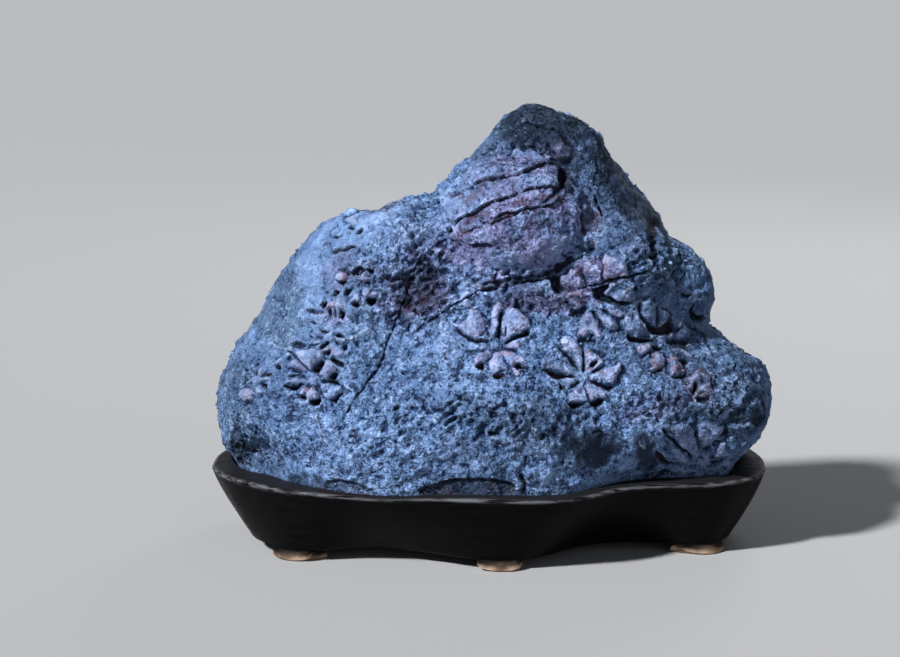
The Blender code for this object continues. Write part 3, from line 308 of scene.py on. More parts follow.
            128.3, 5, 127, 3, 124, 2.6, 121.5, 3, 120, 5.5)),
        (2.0, 0.9, pairs(115, 16.6, 117, 15.7, 119, 15.2, 121.2, 16.3, 120.7, 18, 118.5, 17.2,
            116.5, 17.8)),
    )),
    "rim": dict(centre=(129, -65), petals=(
        (2.4, 0.6, 0.1, pairs(108, -49, 112, -52.5, 113, -56, 116, -59.5, 120, -62.5, 124, -64.5,
            124.5, -62, 123.5, -57, 122, -54, 122.5, -50.5, 119, -48, 115, -47, 111, -48.5)),
        (2.2, 0.5, 0.1, pairs(124.5, -50, 126, -46.5, 130, -46, 134, -48, 137, -49, 136.5, -52,
            134, -55.5, 131, -58.5, 127, -60, 125.5, -57, 124.3, -53.5)),
        (2.6, 1.0, 0.1, pairs(132.5, -64, 133, -61, 135, -57.5, 137.5, -57.5, 138.5, -61,
            139.5, -63.5, 136, -65, 133, -65.3)),
        (1.6, 0.9, 0.1, pairs(131.5, -71, 134, -69.5, 137, -68, 141, -67, 142, -67.5, 139, -68.5,
            135, -70.5, 132, -71.8)),
        (1.6, 0.9, 0.3, pairs(113, -70, 117, -70, 121, -70.3, 124, -71.5, 121, -72.5, 117, -72,
            114, -71.5)),
        (1.6, 0.6, 0.0, pairs(111, -60, 114, -60.5, 117, -63, 121, -65.5, 125, -66, 130, -66.8,
            128, -69.5, 122, -69, 116, -67.5, 112, -64.5)),
    ), hollows=(
        (2.8, 1.0, pairs(105.5, -49.5, 107, -50, 109, -52, 111.5, -55, 114, -57.5, 117, -60.5,
            120.5, -63, 121.5, -64.5, 120, -64.5, 117, -62, 113.5, -59.5, 111.5, -57.5, 109, -55,
            106.5, -52)),
        (1.4, 0.8, pairs(122.5, -51, 124, -52, 124.5, -56, 125.5, -60, 124.8, -62.5, 123.8, -58,
            122.8, -54.5)),
        (2.4, 1.0, pairs(129.5, -65, 131, -64, 132.5, -65, 131.5, -66.5, 129.5, -66)),
        (1.8, 1.0, pairs(131, -68, 134, -67.5, 137, -66, 138.5, -65.7, 136, -67.5, 133, -69,
            130.5, -69.8)),
        (2.4, 0.9, pairs(103, -60.5, 106, -63, 109, -66, 113, -67.8, 118, -69, 112, -69.6,
            106, -68.8, 103, -66)),
        (2.0, 0.9, pairs(104, -71.5, 108, -70.5, 112, -72.5, 116, -73, 110, -74.5, 104, -74)),
        (1.4, 1.0, pairs(119, -73.2, 121, -72.6, 123.5, -71.7, 122.3, -73.2, 119.5, -74)),
        (1.2, 0.6, pairs(136.5, -50, 139.5, -50.5, 140, -54, 138, -56, 136, -53.5)),
    )),
    "dome": dict(centre=(20, 60), star=0, petals=(
        (1.8, 0.5, 0.0, pairs(-6, 66, -3, 67.2, 0, 67.4, 3, 67, 3.6, 62, 2, 57, -1, 53.2, -6, 55,
            -7, 60)),
        (1.4, 0.15, 0.1, pairs(41, 71, 41, 77.5, 46, 79.5, 52, 80.5, 54, 77, 53.5, 71.5,
            47, 71.3)),
        (2.0, 0.1, 0.3, pairs(50, 85.5, 50, 89, 53, 92.5, 57, 93, 60.5, 90, 60, 86, 57.5, 82.8,
            54, 84)),
    ), hollows=(
        (1.8, 0.8, pairs(-6.5, 67.8, -2, 70, 0, 71.5, 3, 70.2, 5.2, 68.3, 2.5, 67.9, 0, 68,
            -3, 67.7)),
        (1.2, 0.55, pairs(45, 61.3, 47, 64, 50, 66.5, 52, 70, 54, 71.5, 56, 75.5, 58, 74, 57, 70,
            54.5, 67, 51, 64.3, 48, 62)),
        (2.6, 0.85, pairs(54.3, 81.3, 58, 80.2, 60, 77.3, 59, 74, 56, 72.5, 54.5, 75, 54, 78)),
        (1.4, 0.7, pairs(44, 83.8, 48, 84.3, 53, 83.2, 57, 82, 59, 80.8, 54, 81.6, 48, 82.6)),
        (1.6, 0.7, pairs(54, 98, 57, 97.5, 60.5, 94, 62, 90.5, 60.5, 89.5, 58.5, 93.3, 55, 95.8)),
        (1.6, 0.65, pairs(14, 22, 20, 24, 28, 25.4, 36, 26.6, 44, 27.4, 50, 28.8, 56, 31.5, 62, 35,
            67, 38.5, 71, 40.5, 66, 35.5, 60, 32, 55, 28.5, 53, 26, 45, 25, 38, 23.8, 32, 22.3,
            25, 21.3, 19, 21.2)),
        (1.2, 0.6, pairs(-4, 49.8, -1.5, 50.5, 0.3, 49, -0.5, 47, -3, 46.5)),
        (1.0, 0.45, pairs(8, 41, 13, 43, 20, 42.5, 23, 40.5, 18, 39, 11, 38.8)),
        (1.0, 0.5, pairs(66.5, 42, 69, 43, 73, 43.5, 72, 42, 68, 41.3)),
    )),
    "bud": dict(centre=(125, -32), star=0, petals=(
        (2.8, 0.35, 0.5, pairs(118.8, -26, 120.5, -23, 123.5, -21, 127, -21.5, 129.5, -24,
            130.3, -28, 131.5, -33, 129, -34, 125, -34, 121.5, -34.5, 122.5, -31, 119.5, -29)),
    ), hollows=(
        (1.6, 0.8, pairs(121.5, -27, 123.5, -27.8, 123.8, -30.5, 122, -34, 120.8, -32,
            121.5, -29.5)),
        (1.6, 0.8, pairs(123, -34.5, 129, -34.2, 131, -35.5, 127, -37.5, 123, -37)),
    )),
    "left": dict(centre=(-69.8, -25.8), boost=1.35, petals=(
        (2.4, 0.7, 0.2, pairs(-76, -14.5, -77, -12, -73, -10.5, -69, -9.8, -65, -11, -64, -14,
            -65.7, -15.2, -67.3, -17.5, -69.2, -19, -69.8, -21.5, -71, -20, -74, -17.5)),
        (2.4, 0.8, 0.2, pairs(-66, -22.5, -64, -20, -63, -16, -60, -15.5, -57, -19, -57.5, -21.5,
            -60, -24, -64, -24.5)),
        (2.2, 0.35, 0.1, pairs(-66, -27, -62, -27, -58, -27.8, -55, -29.5, -56, -32, -59, -35.3,
            -61, -35.8, -63.5, -33.5, -65.5, -30.5)),
        (2.0, 0.8, 0.6, pairs(-69.5, -28.5, -67.5, -31, -66.5, -33.7, -68, -34.8, -71, -35.8,
            -72.3, -34.5, -71.8, -31)),
        (1.8, 0.7, 0.6, pairs(-76, -32, -73, -29, -71, -29, -72.3, -32, -74.5, -32.8)),
        (1.4, 0.8, 0.1, pairs(-82, -25.5, -78, -25, -73, -25.2, -72, -26.3, -76, -27, -80, -27.3,
            -83, -27)),
        (2.0, 0.7, 0.2, pairs(-82, -19, -79, -15.5, -76.7, -15.3, -73.2, -18.5, -71.7, -20.5,
            -74, -21, -77, -19.8, -80, -19.2)),
    ), hollows=(
        (2.4, 1.0, pairs(-69.3, -20.5, -69, -18.5, -67, -17, -65.5, -15.6, -63.5, -15.5,
            -64.5, -18.5, -66.5, -22.5, -69, -21.8)),
        (1.6, 0.7, pairs(-61, -23.5, -58.5, -21.3, -56, -20.5, -56.5, -23, -58, -25.5,
            -60.5, -25)),
        (2.4, 1.0, pairs(-65.5, -24.6, -62, -25.2, -58, -25.2, -55, -27.5, -53.5, -29, -57, -27.7,
            -60, -27, -63.5, -26.7, -65, -25.7)),
        (2.2, 1.0, pairs(-60.5, -36, -58, -38, -57, -36.5, -55, -33, -54.5, -31, -56, -32.3,
            -58.5, -35.5)),
        (2.4, 1.0, pairs(-71.5, -37, -71, -35.8, -68.5, -35, -66.5, -34, -65, -36.5, -66, -38.5,
            -69, -39, -71, -38)),
        (2.2, 1.0, pairs(-76.5, -34, -75, -33, -73, -33, -72.5, -35, -73, -36.5, -75.5, -35.5)),
        (2.6, 1.0, pairs(-83, -27.5, -81, -28.5, -79, -28.8, -76, -27.5, -73, -27, -75, -29,
            -77.5, -31, -80, -31.5, -82, -30, -83.5, -29)),
        (1.6, 0.8, pairs(-82, -23.5, -80, -24.5, -78, -24, -76, -23, -74, -24, -72.5, -24.4,
            -75, -22.6, -78, -22.4, -80, -22.8)),
        (1.2, 0.7, pairs(-80.5, -20.6, -78.5, -20, -76, -21, -74, -22.2, -76.5, -22, -79, -21.8)),
        (2.0, 1.0, pairs(-82.7, -10.3, -80, -11.2, -78, -12.8, -76.8, -14.6, -78.5, -14.2,
            -80.5, -12.6)),
        (1.4, 0.6, pairs(-80, -7, -77, -6, -74.5, -6, -72, -8, -74, -10, -78, -10, -80, -9)),
        (1.6, 0.8, pairs(-88, -19, -86.5, -17.8, -84.6, -18.2, -84.5, -20.3, -87, -20.3)),
    )),
    "left small": dict(centre=(-61, -4.8), boost=1.3, petals=(
        (1.8, 0.7, 0.3, pairs(-59.5, -7.5, -56, -8.7, -54.5, -11, -53.5, -13.3, -57, -13.6,
            -60, -13, -60.3, -10)),
        (1.4, 0.6, 0.4, pairs(-66, -11, -63, -9.5, -61.2, -8.2, -60.8, -9.8, -63.5, -11.2,
            -64.5, -12.5)),
        (1.4, 0.5, 0.1, pairs(-68, -1, -70, -3, -67.5, -4.2, -64, -4, -63, -3.2, -65.8, -1.6)),
    ), hollows=(
        (1.2, 0.7, pairs(-72.5, 8.5, -71, 9.8, -67, 9.5, -63, 8.5, -62, 7.5, -65, 7.3, -67, 7,
            -70, 7.5)),
        (1.6, 0.8, pairs(-68, 4.5, -67, 3, -67.5, 2, -70, 3, -72, 3.5)),
        (2.0, 1.0, pairs(-65.5, -1, -64, -2.5, -62, -3, -60.5, -1.5, -60.5, -0.3, -63, -0.5,
            -66.5, 0)),
        (2.0, 1.0, pairs(-58, -3.5, -56, -2, -53.5, -2.5, -52.5, -4, -50, -4.5, -55, -4.8,
            -57, -4.3)),
        (2.0, 1.0, pairs(-66, -9.5, -65, -10.5, -63.5, -9.5, -61, -7, -60.5, -6.2, -63, -6,
            -65, -8)),
        (1.6, 0.9, pairs(-71, -7.5, -70, -8.5, -67.5, -8.5, -65.5, -7, -65, -6.5, -67, -6.5)),
        (1.8, 0.9, pairs(-63.5, -13, -61.5, -13.5, -60.5, -12, -60.3, -10, -61.5, -10,
            -63.5, -11.5)),
        (1.8, 0.9, pairs(-54.5, -10, -53, -11, -52, -10, -51.8, -8, -52.5, -7, -54, -8.5)),
        (1.4, 0.8, pairs(-58, -5.8, -57, -7, -55.5, -8.5, -54.5, -7.5, -56, -6.2)),
        (2.6, 1.0, pairs(-60.5, -14.5, -59, -13.8, -57, -14.5, -54, -16, -53.2, -17.5, -54, -19,
            -56, -18.5, -58.5, -17, -60.5, -15.5)),
    )),
    "far left": dict(centre=(-98, -25), boost=1.3, petals=(
        (1.8, 0.9, 0.3, pairs(-105, -31, -103, -29.5, -100.5, -29.5, -98.5, -32, -99.5, -35.5,
            -101.5, -36.3, -103.5, -36, -105.3, -34)),
        (1.4, 0.6, 0.1, pairs(-97.5, -28.5, -95, -30.3, -92, -31.8, -93.5, -32.5, -96.5, -32.5,
            -98.5, -31)),
    ), hollows=(
        (2.2, 1.0, pairs(-95.5, -22, -94, -21.3, -90, -22, -89, -23, -91, -23.5, -95, -24,
            -96, -23)),
        (2.4, 1.0, pairs(-96.5, -27, -95.5, -26.3, -93, -27.5, -91, -28, -90.5, -30, -91.5, -31,
            -94, -30, -96, -28.2)),
        (1.6, 0.8, pairs(-100, -21, -98.5, -20.5, -97.2, -21.5, -97.5, -23, -99, -22.8)),
        (1.6, 1.0, pairs(-103.8, -19.5, -102.5, -19.3, -101.5, -20.5, -102, -21.5, -103.5, -20.8)),
        (1.4, 1.0, pairs(-104, -24.8, -101.5, -24.6, -101, -25.2, -103, -25.8)),
        (1.2, 0.9, pairs(-104, -28.5, -102, -28.2, -102.5, -29)),
        (1.6, 0.8, pairs(-96, -33, -94, -32.5, -94.5, -34.5, -96.5, -35)),
        (2.2, 1.0, pairs(-104, -37.5, -101, -36.5, -99.8, -37, -100.5, -38.5, -102.5, -39)),
        (1.4, 0.8, pairs(-107.5, -21, -105.5, -20.5, -105.5, -22, -107, -22.3)),
        (1.2, 0.6, pairs(-99, -17.5, -96.5, -16.3, -95.2, -17, -96.5, -19, -98.5, -18.8)),
    )),
    "shoulder": dict(centre=(-49, 24), star=0, boost=1.3, petals=(
        (2.4, 0.6, 0.7, pairs(-57.3, 25, -56.5, 27.5, -54, 28.8, -52, 27.3, -51.3, 25, -52.5, 23.5,
            -55, 23.2)),
        (2.4, 0.6, 0.8, pairs(-45.3, 24.8, -43.2, 28, -41, 26.2, -40.3, 24.4, -42, 23.6, -44, 24)),
        (2.4, 0.9, 0.2, pairs(-44.5, 17, -43.3, 20.5, -40.5, 20, -38, 17.7, -36.5, 16.5, -38.5, 16,
            -41, 16.3, -43, 15.5)),
        (2.2, 0.8, 0.2, pairs(-50, 12.8, -48.7, 15.5, -48, 18.2, -45.8, 17.5, -45, 14, -46, 13.8,
            -48.5, 14)),
        (1.6, 0.4, 0.8, pairs(-62, 9.5, -60.8, 12, -58.5, 13.5, -57.5, 12, -56.3, 13.2, -53, 11,
            -55, 10.2, -57, 11, -59.3, 11, -60.5, 9.5)),
        (1.8, 0.5, 0.2, pairs(-50.2, 51.8, -52.3, 54, -50.5, 55.3, -46.5, 55.2, -46, 52,
            -48, 51.2)),
    ), hollows=(
        (1.6, 1.0, pairs(-61, 49, -60, 50.7, -58, 51.7, -56, 51.4, -57.5, 50.3, -59.5, 49.3,
            -60.5, 48.5)),
        (1.8, 1.0, pairs(-59.3, 46, -58, 45, -56, 45, -54.5, 46.5, -54, 48.3, -56, 47, -58, 46.8)),
        (2.0, 1.0, pairs(-51.5, 50.5, -50, 51.3, -48, 51, -47.3, 49.7, -49, 49.2, -51, 49.8)),
        (2.2, 1.0, pairs(-46.5, 49, -45, 50.5, -43.2, 51, -43.5, 49, -45, 47.8, -47, 47.3,
            -48, 48)),
        (2.6, 1.0, pairs(-60, 38.5, -57.5, 39.5, -55, 40.3, -52, 40.5, -50, 42, -47.8, 42,
            -47.2, 40.8, -49.5, 39.8, -52, 38.7, -55, 38.5, -56.5, 37, -58, 37.2)),
        (1.2, 0.9, pairs(-44, 34, -42.5, 35, -41.8, 34.3, -43, 33)),
        (2.0, 0.85, pairs(-50.5, 28, -47, 31, -45, 31.5, -43, 30, -40, 30, -37.5, 29.5, -37.8, 27,
            -40, 26.5, -42, 29, -44, 27, -45, 25.5, -48, 25.2, -49.5, 26)),
        (1.8, 1.0, pairs(-57, 24.6, -55, 24, -52.2, 23.8, -52, 22.6, -53.5, 21.8, -55.5, 22.6,
            -56.8, 23.8)),
        (1.4, 0.9, pairs(-54.5, 29.7, -52.5, 29.2, -50.3, 27, -50.2, 25.7, -51.5, 26.8,
            -53.5, 29)),
        (1.6, 0.9, pairs(-44.5, 23.6, -42, 23.2, -40.3, 23.6, -40, 22, -42, 22.2)),
        (1.8, 0.9, pairs(-58.5, 17, -57, 19.5, -55.5, 19.5, -54.5, 18, -56.5, 16.5, -57.5, 15.8)),
        (1.8, 0.8, pairs(-53.5, 17, -51.5, 20, -48.8, 20.5, -49.5, 18, -51.5, 15.5, -53, 16)),
        (1.4, 0.9, pairs(-46.5, 18, -45, 19.8, -44.5, 18.5, -45.3, 17.8)),
        (2.2, 1.0, pairs(-50, 12.7, -48.5, 13.8, -46, 13.6, -45, 12, -46, 10.5, -47.5, 10.2,
            -49, 11.5)),
        (2.4, 0.9, pairs(-42.5, 14.5, -41, 16, -38.5, 15.8, -37, 15.3, -37, 13, -39.5, 11.5,
            -41.5, 12.5)),
        (2.0, 1.0, pairs(-64.8, 11.5, -64, 13.5, -62, 14, -61, 12.8, -61.5, 10.3, -63, 9.5,
            -64.2, 10.2)),
        (2.0, 0.9, pairs(-61, 8.5, -60.2, 10.5, -59.3, 9.8, -59, 7, -60, 6)),
        (2.2, 0.9, pairs(-58.3, 10.8, -57.2, 10.6, -56.8, 7.5, -57, 5, -58.5, 6.5)),
        (2.2, 0.85, pairs(-55.3, 9.8, -53.8, 9.6, -52, 8.5, -53.2, 6, -55, 4, -55.8, 6.5)),
    )),
    "foot": dict(centre=(0, -60), star=0, petals=(), hollows=(
        (1.6, 0.65, pairs(-62, -75.5, -55, -75, -48, -76.5, -42, -79.5, -38, -80.5, -36, -86,
            -62, -86)),
        (1.6, 0.9, pairs(-16, -81, -14, -79.5, -8, -77, 0, -75.5, 10, -74.5, 20, -75, 30, -76,
            33, -79, 33, -86, -14, -86)),
        (1.5, 0.7, pairs(-28.5, -39, -26, -38, -24.8, -40, -26.6, -42, -28.8, -41.4)),
        (1.5, 0.7, pairs(-28, -56, -25.8, -55.6, -25.4, -58, -27.4, -58.6)),
        (1.7, 0.8, pairs(18.4, -41.4, 21.4, -40.6, 24.6, -42, 23.6, -44.6, 20, -44.8)),
        (1.7, 0.8, pairs(18, -51.6, 20.6, -50.8, 23.4, -52, 22.4, -54.2, 19.4, -54.4)),
        (1.2, 0.6, pairs(-51.5, -51.4, -48.6, -50.4, -46, -52, -47, -55, -50.4, -55)),
    )),
}

# Round ends of petals that stand up on the skyline: across, up, radius, rise
KNOBS = ((-49, 56.5, 3.6, 2.6), (-54.5, 53.5, 2.6, 1.8), (-57.3, 48.6, 2.6, 1.5))

# Cracks, creases and bedding lines across the face: width, depth, how far the side to the left
# of the line's run stands proud, how dark it is painted by stain and painted shade in the crack,
# then its points in face coordinates
CREASES = {
    "dome underside": (8.0, 1.8, 1.0, 0.10, (
        (8.5, 23.5), (20.5, 19.5), (30, 21.5), (41, 24.5), (50.5, 27.5), (57.5, 32.5),
        (65.5, 40.5), (73, 43))),
    "dome underside crack": (1.0, 1.4, 0.0, 0.8, (
        (8.5, 23.5), (20.5, 19.5), (30, 21.5), (41, 24.5), (50.5, 27.5), (57.5, 32.5),
        (63, 38))),
    "crown seam": (7.0, 1.8, 0.8, 0.0, (
        (2, 80), (10, 86.5), (20, 91.5), (30, 90.5), (36, 91.5), (45, 89.8), (54, 86.5),
        (64, 79))),
    "crown seam crack": (1.0, 0.9, 0.0, 0.5, (
        (25, 91), (30, 90.2), (34, 91.6), (40, 91), (45, 90), (50, 88.5), (54, 87))),
    "upper bedding": (0.9, 1.5, 2.2, 0.85, (
        (7, 72), (10, 71.2), (13, 72.5), (16, 73.5), (20, 74), (25, 75), (30, 76), (35, 76.5),
        (38, 77.5), (41, 79), (45, 80.5), (48, 82), (52, 82.5))),
    "middle bedding": (1.1, 2.0, 2.6, 0.9, (
        (-0.5, 51.5), (3, 54), (6, 56), (10, 57), (13, 58.5), (16, 60.5), (20, 62.5),
        (25, 63.5), (28, 65), (31, 65.5), (34, 67.5))),
    "middle bedding end": (0.9, 1.4, 2.0, 0.8, (
        (36.5, 68.5), (40, 69.5), (45, 70), (50, 70.5), (53, 70))),
    "red bedding": (1.1, 1.8, 1.8, 0.9, (
        (19.5, 55.5), (22, 55.5), (25, 56.8), (27, 57.8), (30, 57.5), (33, 58), (36, 59.5),
        (40, 60), (44, 60.5), (48, 61), (52, 63), (55, 65.5))),
    "red bedding below": (1.1, 1.2, 0.5, 0.9, (
        (19, 52), (20.5, 51.8), (22, 53), (25, 54.5), (28, 55.5), (31, 56), (33, 57))),
    "low band": (1.0, 0.8, 0.4, 0.4, ((5, 47), (8, 48), (12, 50), (17, 50.5))),
    "short crack": (1.0, 1.0, 0.4, 0.7, ((46, 51.5), (47, 53.5), (49, 55))),
    "crown crack": (1.0, 1.3, 1.6, 0.7, (
        (35, 107.5), (37, 105), (40, 102), (43, 100.5), (48, 100), (52, 99.5), (56, 97.5),
        (60, 93.5), (63, 91))),
    "right groove": (3.0, 1.6, 0.0, 0.35, ((66, 67), (66.5, 55), (67, 45))),
    "far right groove": (1.8, 1.4, 0.0, 0.5, (
        (70, 71), (72, 67), (74, 63), (75.5, 58), (76, 56))),
    "fissure": (0.9, 1.5, 1.0, 0.8, (
        (-12.5, 1.5), (-2.5, 9.5), (5, 13.5), (15, 19.5), (25, 21.5), (45, 24.5), (55, 26.5))),
    "bump crease": (5.0, 3.0, 0.0, 0.3, ((101, 57), (102, 45.5), (103, 31))),
    "long crack": (1.0, 1.2, 0.5, 0.8, (
        (-55, -46.75), (-52.5, -41.25), (-50, -35.75), (-45.5, -30.25), (-40.5, -23.25),
        (-36.5, -18.25), (-33.5, -13.25), (-31.5, -6.75), (-28, 2.25), (-22, 16.75),
        (-19, 24.75), (-16, 32.75), (-10.5, 43.25))),
    "bottom cleft": (2.6, 2.2, 0.0, 0.8, ((35, -73), (37.5, -78), (36.5, -86))),
    "left crack": (1.1, 1.2, 0.0, 0.85, (
        (-77, -14.5), (-75, -16.5), (-72, -19), (-70, -21.5), (-67, -23), (-65.5, -24.7))),
    "green chip": (11.0, 2.0, 0.0, 0.0, ((-88, 14), (-84, 21), (-80, 30))),
}

# Thin pale veins and ridges that stand a little proud, in face coordinates
VEINS = (
    ((-68, -39.25), (-67, -44.75), (-65.5, -50.25), (-62, -56.75), (-57, -62.25)),
    ((-90, -7), (-86, -9), (-82, -10.5)), ((-81, -13), (-84, -14.5), (-88, -17.5), (-89, -19.5)),
    ((-61, 1), (-65, 4.5), (-69, 7), (-73, 9)), ((-60, -3), (-56.5, -1.5)),
    ((-60, 0.5), (-56.5, -2)), ((-63, -4.6), (-66, -5.8), (-71, -7.5)),
    ((-59, -4.8), (-50, -4.7), (-40.5, 0.25)),
    ((-98, -24), (-95, -20)), ((-96, -25), (-90, -25)), ((-101, -25.5), (-104.5, -27)),
    ((-98, -27), (-98.5, -29)), ((8.5, 23.25), (18.5, 20.75)),
    ((10, 10.25), (7.5, 15.25), (5.5, 19.25), (9, 23.25)),
    ((16.5, -1), (19.8, -5.3)), ((26.2, 4), (26, 0), (25.2, -5.5)),
    ((58, 6.5), (62, 9.5), (65, 11.5)), ((86.5, 18), (91.5, 22.5)), ((74.5, 29), (75, 24)),
    ((83, -3.5), (86, 1), (88.5, 5), (90, 8), (93, 11.5), (95.5, 14)),
    ((60.5, 29.5), (64.5, 26), (64.5, 21.5)), ((95, 5), (97.5, 1), (102.5, -4)),
    ((110, -4.5), (113, -2), (115, 1), (117, 4.5)), ((113.5, -15.5), (118, -22)),
    ((114, -7.5), (120, -7.3)), ((125.5, -30), (127.5, -27.5), (129.3, -25.2)),
)

# The broad shallow valley that runs down the face from the notch
VALLEY = ((-6.5, 70), (-10, 39), (-20, 24), (-27.5, 9), (-35, -11), (-50, -36))
VALLEY_WIDTH = 16.0
VALLEY_DEPTH = 5.0

# Patches of the face that differ in colour or skin: across, up, half width, half height, turn,
# strength. Pale ones carry the same bloom as the petals, and blush ones a rusty stain. Dark ones
# are partly darker rock and partly painted shade: where the face turns away from the light, in
# hollows, and toward the right and the top.
PURPLE_PATCHES = (
    (32, 48, 40, 24, 12, 0.9), (34, 80, 28, 12, 15, 0.8), (-16, 26, 17, 26, -25, 0.8),
    (68, 24, 20, 10, 10, 1.0), (124.5, -28, 8, 8, 0, 1.0), (40, 14, 20, 7, 0, 0.8),
    (-48, 25, 12, 9, 0, 0.45), (-56, 8, 7, 6, 0, 0.6), (100, -40, 16, 10, 0, 0.6),
)
GREEN_PATCHES = (
    (44, 105, 30, 9, -4, 1.0), (-84, 22, 9, 14, 40, 1.0), (-106, -40, 10, 26, 5, 0.8),
    (-108, -62, 10, 12, 0, 0.8), (-86, 2, 12, 14, 40, 0.8), (112, 34, 16, 12, 0, 0.8),
    (140, -30, 18, 26, 0, 0.7),
)
ROUGH_PATCHES = (
    (16, -46, 24, 14, -10, 1.0), (-30, -50, 22, 18, 20, 0.5),
    (-16, 24, 18, 28, -25, 1.0), (100, 32, 18, 14, 0, 0.8), (-106, -58, 12, 16, 0, 0.6),
    (142, -40, 16, 20, 0, 0.5), (38, 14, 22, 6, 5, 0.8), (14, 27, 20, 6, 0, 0.8),
    (60, -50, 24, 10, 0, 0.7), (104, -40, 16, 10, 0, 0.7),
)
SMOOTH_PATCHES = (
    (96, 70, 14, 24, 35, 1.0), (69, -59, 13, 9, 0, 1.0), (97, -62, 7, 9, 0, 1.0),
    (-73, -76, 17, 5, -10, 1.0), (11, -81, 22, 4, 0, 1.0), (-84, 22, 6, 10, 40, 1.0),
    (60, 92, 12, 16, 30, 0.6), (-60, 40, 34, 16, 35, 0.85), (-72, 8, 34, 26, 40, 0.6),
    (30, 52, 34, 26, 10, 0.3),
)
DARK_ROCK_AND_SHADE_PATCHES = (
    (70, -60, 14, 10, 0, 1.0), (97, -62, 7, 8, 0, 1.0), (-73, -79, 18, 4, -10, 0.9),
    (-106, -60, 8, 9, 0, 0.85), (-17, 22, 11, 17, -25, 0.75),
    (94, 74, 20, 34, 35, 0.95), (135, -41, 12, 6, 10, 0.8), (150, -40, 6, 6, 0, 0.8),
    (46, 103, 34, 13, -6, 0.9), (14, 98, 14, 16, 45, 0.55), (62, 82, 9, 14, 0, 0.85),
    (44, -48, 24, 14, 0, 0.55), (112, 2, 36, 30, 0, 0.3), (130, -44, 30, 26, 0, 0.3),
    (38, 16, 22, 6, 5, 0.5), (92, 44, 22, 16, 0, 0.35), (-96, -66, 16, 8, -30, 0.45),
    (12, -40, 18, 9, -10, 0.35), (-94, -24, 20, 26, 10, 0.2), (20, -62, 20, 12, 0, 0.3),
    (-70, 14, 40, 34, 30, 0.24), (-80, 30, 8, 16, 40, 0.35), (104, -20, 24, 16, -30, 0.2),
)
PALE_PATCHES = (
    (-1, 60, 5, 8, 0, 0.9), (24, 71, 20, 4, 14, 0.45), (34, 64, 18, 3, 14, 0.35),
    (22, 38, 22, 5, 8, 0.5), (48, 36, 12, 8, 40, 0.3), (88, 44, 14, 8, -30, 0.25),
    (-26, 52, 20, 9, 10, 0.3), (2, -66, 20, 8, 20, 0.2), (-4, -4, 12, 8, 0, 0.2),
)
BLUSH_PATCHES = (
    (59, 68, 6, 4, 0, 0.9), (72.5, 52, 4, 6, 0, 0.9), (12, 69, 12, 2, 18, 0.9),
    (8, 55.5, 12, 2.4, 28, 1.0), (34, 57, 15, 2.6, 12, 1.0), (5, 47, 7, 3, 25, 0.9),
    (48, 80, 9, 2, 14, 0.7), (50, 63, 8, 3, 25, 0.9), (72, 43, 3, 2, 0, 1.0),
    (24, 51, 7, 2.4, 10, 0.8), (62, 30, 12, 3, 20, 0.5), (-16, 12, 5, 7, -25, 0.5),
)

# The stand's rim, anticlockwise from the left end: across, back, height. The base outline
# below has one point under each, and is drawn in further between the feet than at them.
RIM = (
    (-140.5, -2, 36.8), (-138.6, -16, 37), (-129.6, -36, 37.6), (-109, -55, 37.5),
    (-90, -64.5, 37), (-72, -70, 36.2), (-50, -75, 35.6), (-30, -76, 36.4), (-8, -78.5, 37),
    (12, -80.5, 36.8), (30, -78.5, 36.2), (46, -71, 36.8), (60, -60, 37.5), (78, -54, 37.7),
    (103, -51, 37.6), (122, -42, 37.5), (133, -28, 37.5), (137, -8, 37.4), (137, 12, 37.4),
    (131, 33, 37.5), (113, 49, 37.5), (88, 56, 37.5), (64, 58, 37.3), (38, 64, 37),
    (8, 70, 36.8), (-22, 71, 36.8), (-50, 66, 37), (-76, 61, 37.3), (-104, 57, 37.5),
    (-125, 44, 37.4), (-138, 22, 37),
)
BASE = (
    (-122, -2), (-121, -15), (-115, -35), (-101, -50), (-86, -54.5), (-70, -51), (-52, -49.5),
    (-32, -57), (-10, -68), (11, -69.5), (27, -60), (42, -46), (58, -39), (77, -37.5),
    (99, -42), (111, -37), (117, -26), (120, -8), (120, 11), (114, 30), (101, 43), (84, 44),
    (62, 42), (38, 49), (8, 58), (-22, 59), (-50, 50), (-74, 46), (-98, 49), (-111, 39),
    (-121, 20),
)

# Where the feet stand on the base outline
FEET = ((-98, -51.5), (2, -70), (104, -41), (100, 43), (-100, 48))

# The foot's shape from the table up: height, how much of the toe's flare, and width
FOOT_RINGS = (
    (0.0, 0.80, 0.72), (0.2, 0.94, 0.90), (0.5, 1.0, 1.0), (1.2, 0.92, 1.0), (2.6, 0.4, 0.97),
    (5.0, 0.1, 0.95), (8.0, 0.0, 0.94),
)

# The rounded lip of the rim: how far in from its outer edge, and how far below its top
RIM_LIP = ((2.2, -0.40), (1.4, -0.28), (0.8, -0.05), (0.35, 0.25), (0.1, 0.6), (0.0, 1.0))

# Uneven lumps of the stone: how many millimetres apart, and the seed they are drawn with
LUMPINESS = {
    "body": (42.0, 11), "body closer": (19.0, 12), "coarse": (9.0, 21), "middling": (4.8, 22),
    "fine": (2.6, 23), "finest": (1.5, 24), "wander x": (6.0, 31), "wander y": (6.0, 32),
    "wander z": (6.0, 45), "jitter x": (2.4, 46), "jitter y": (2.4, 47), "broad": (26.0, 33),
    "rough behind": (38.0, 34), "purple behind": (45.0, 35), "green behind": (52.0, 36),
    "ledges": (9.5, 37), "streaks": (4.4, 38), "seam behind": (60.0, 43),
    "crack behind": (48.0, 44), "pits": (3.6, 53), "pitted places": (22.0, 54),
    "striae": (1.0, 61), "crack width": (3.2, 71),
}
CHIPS = (3.0, 51)
LARGE_CHIPS = (8.0, 52)

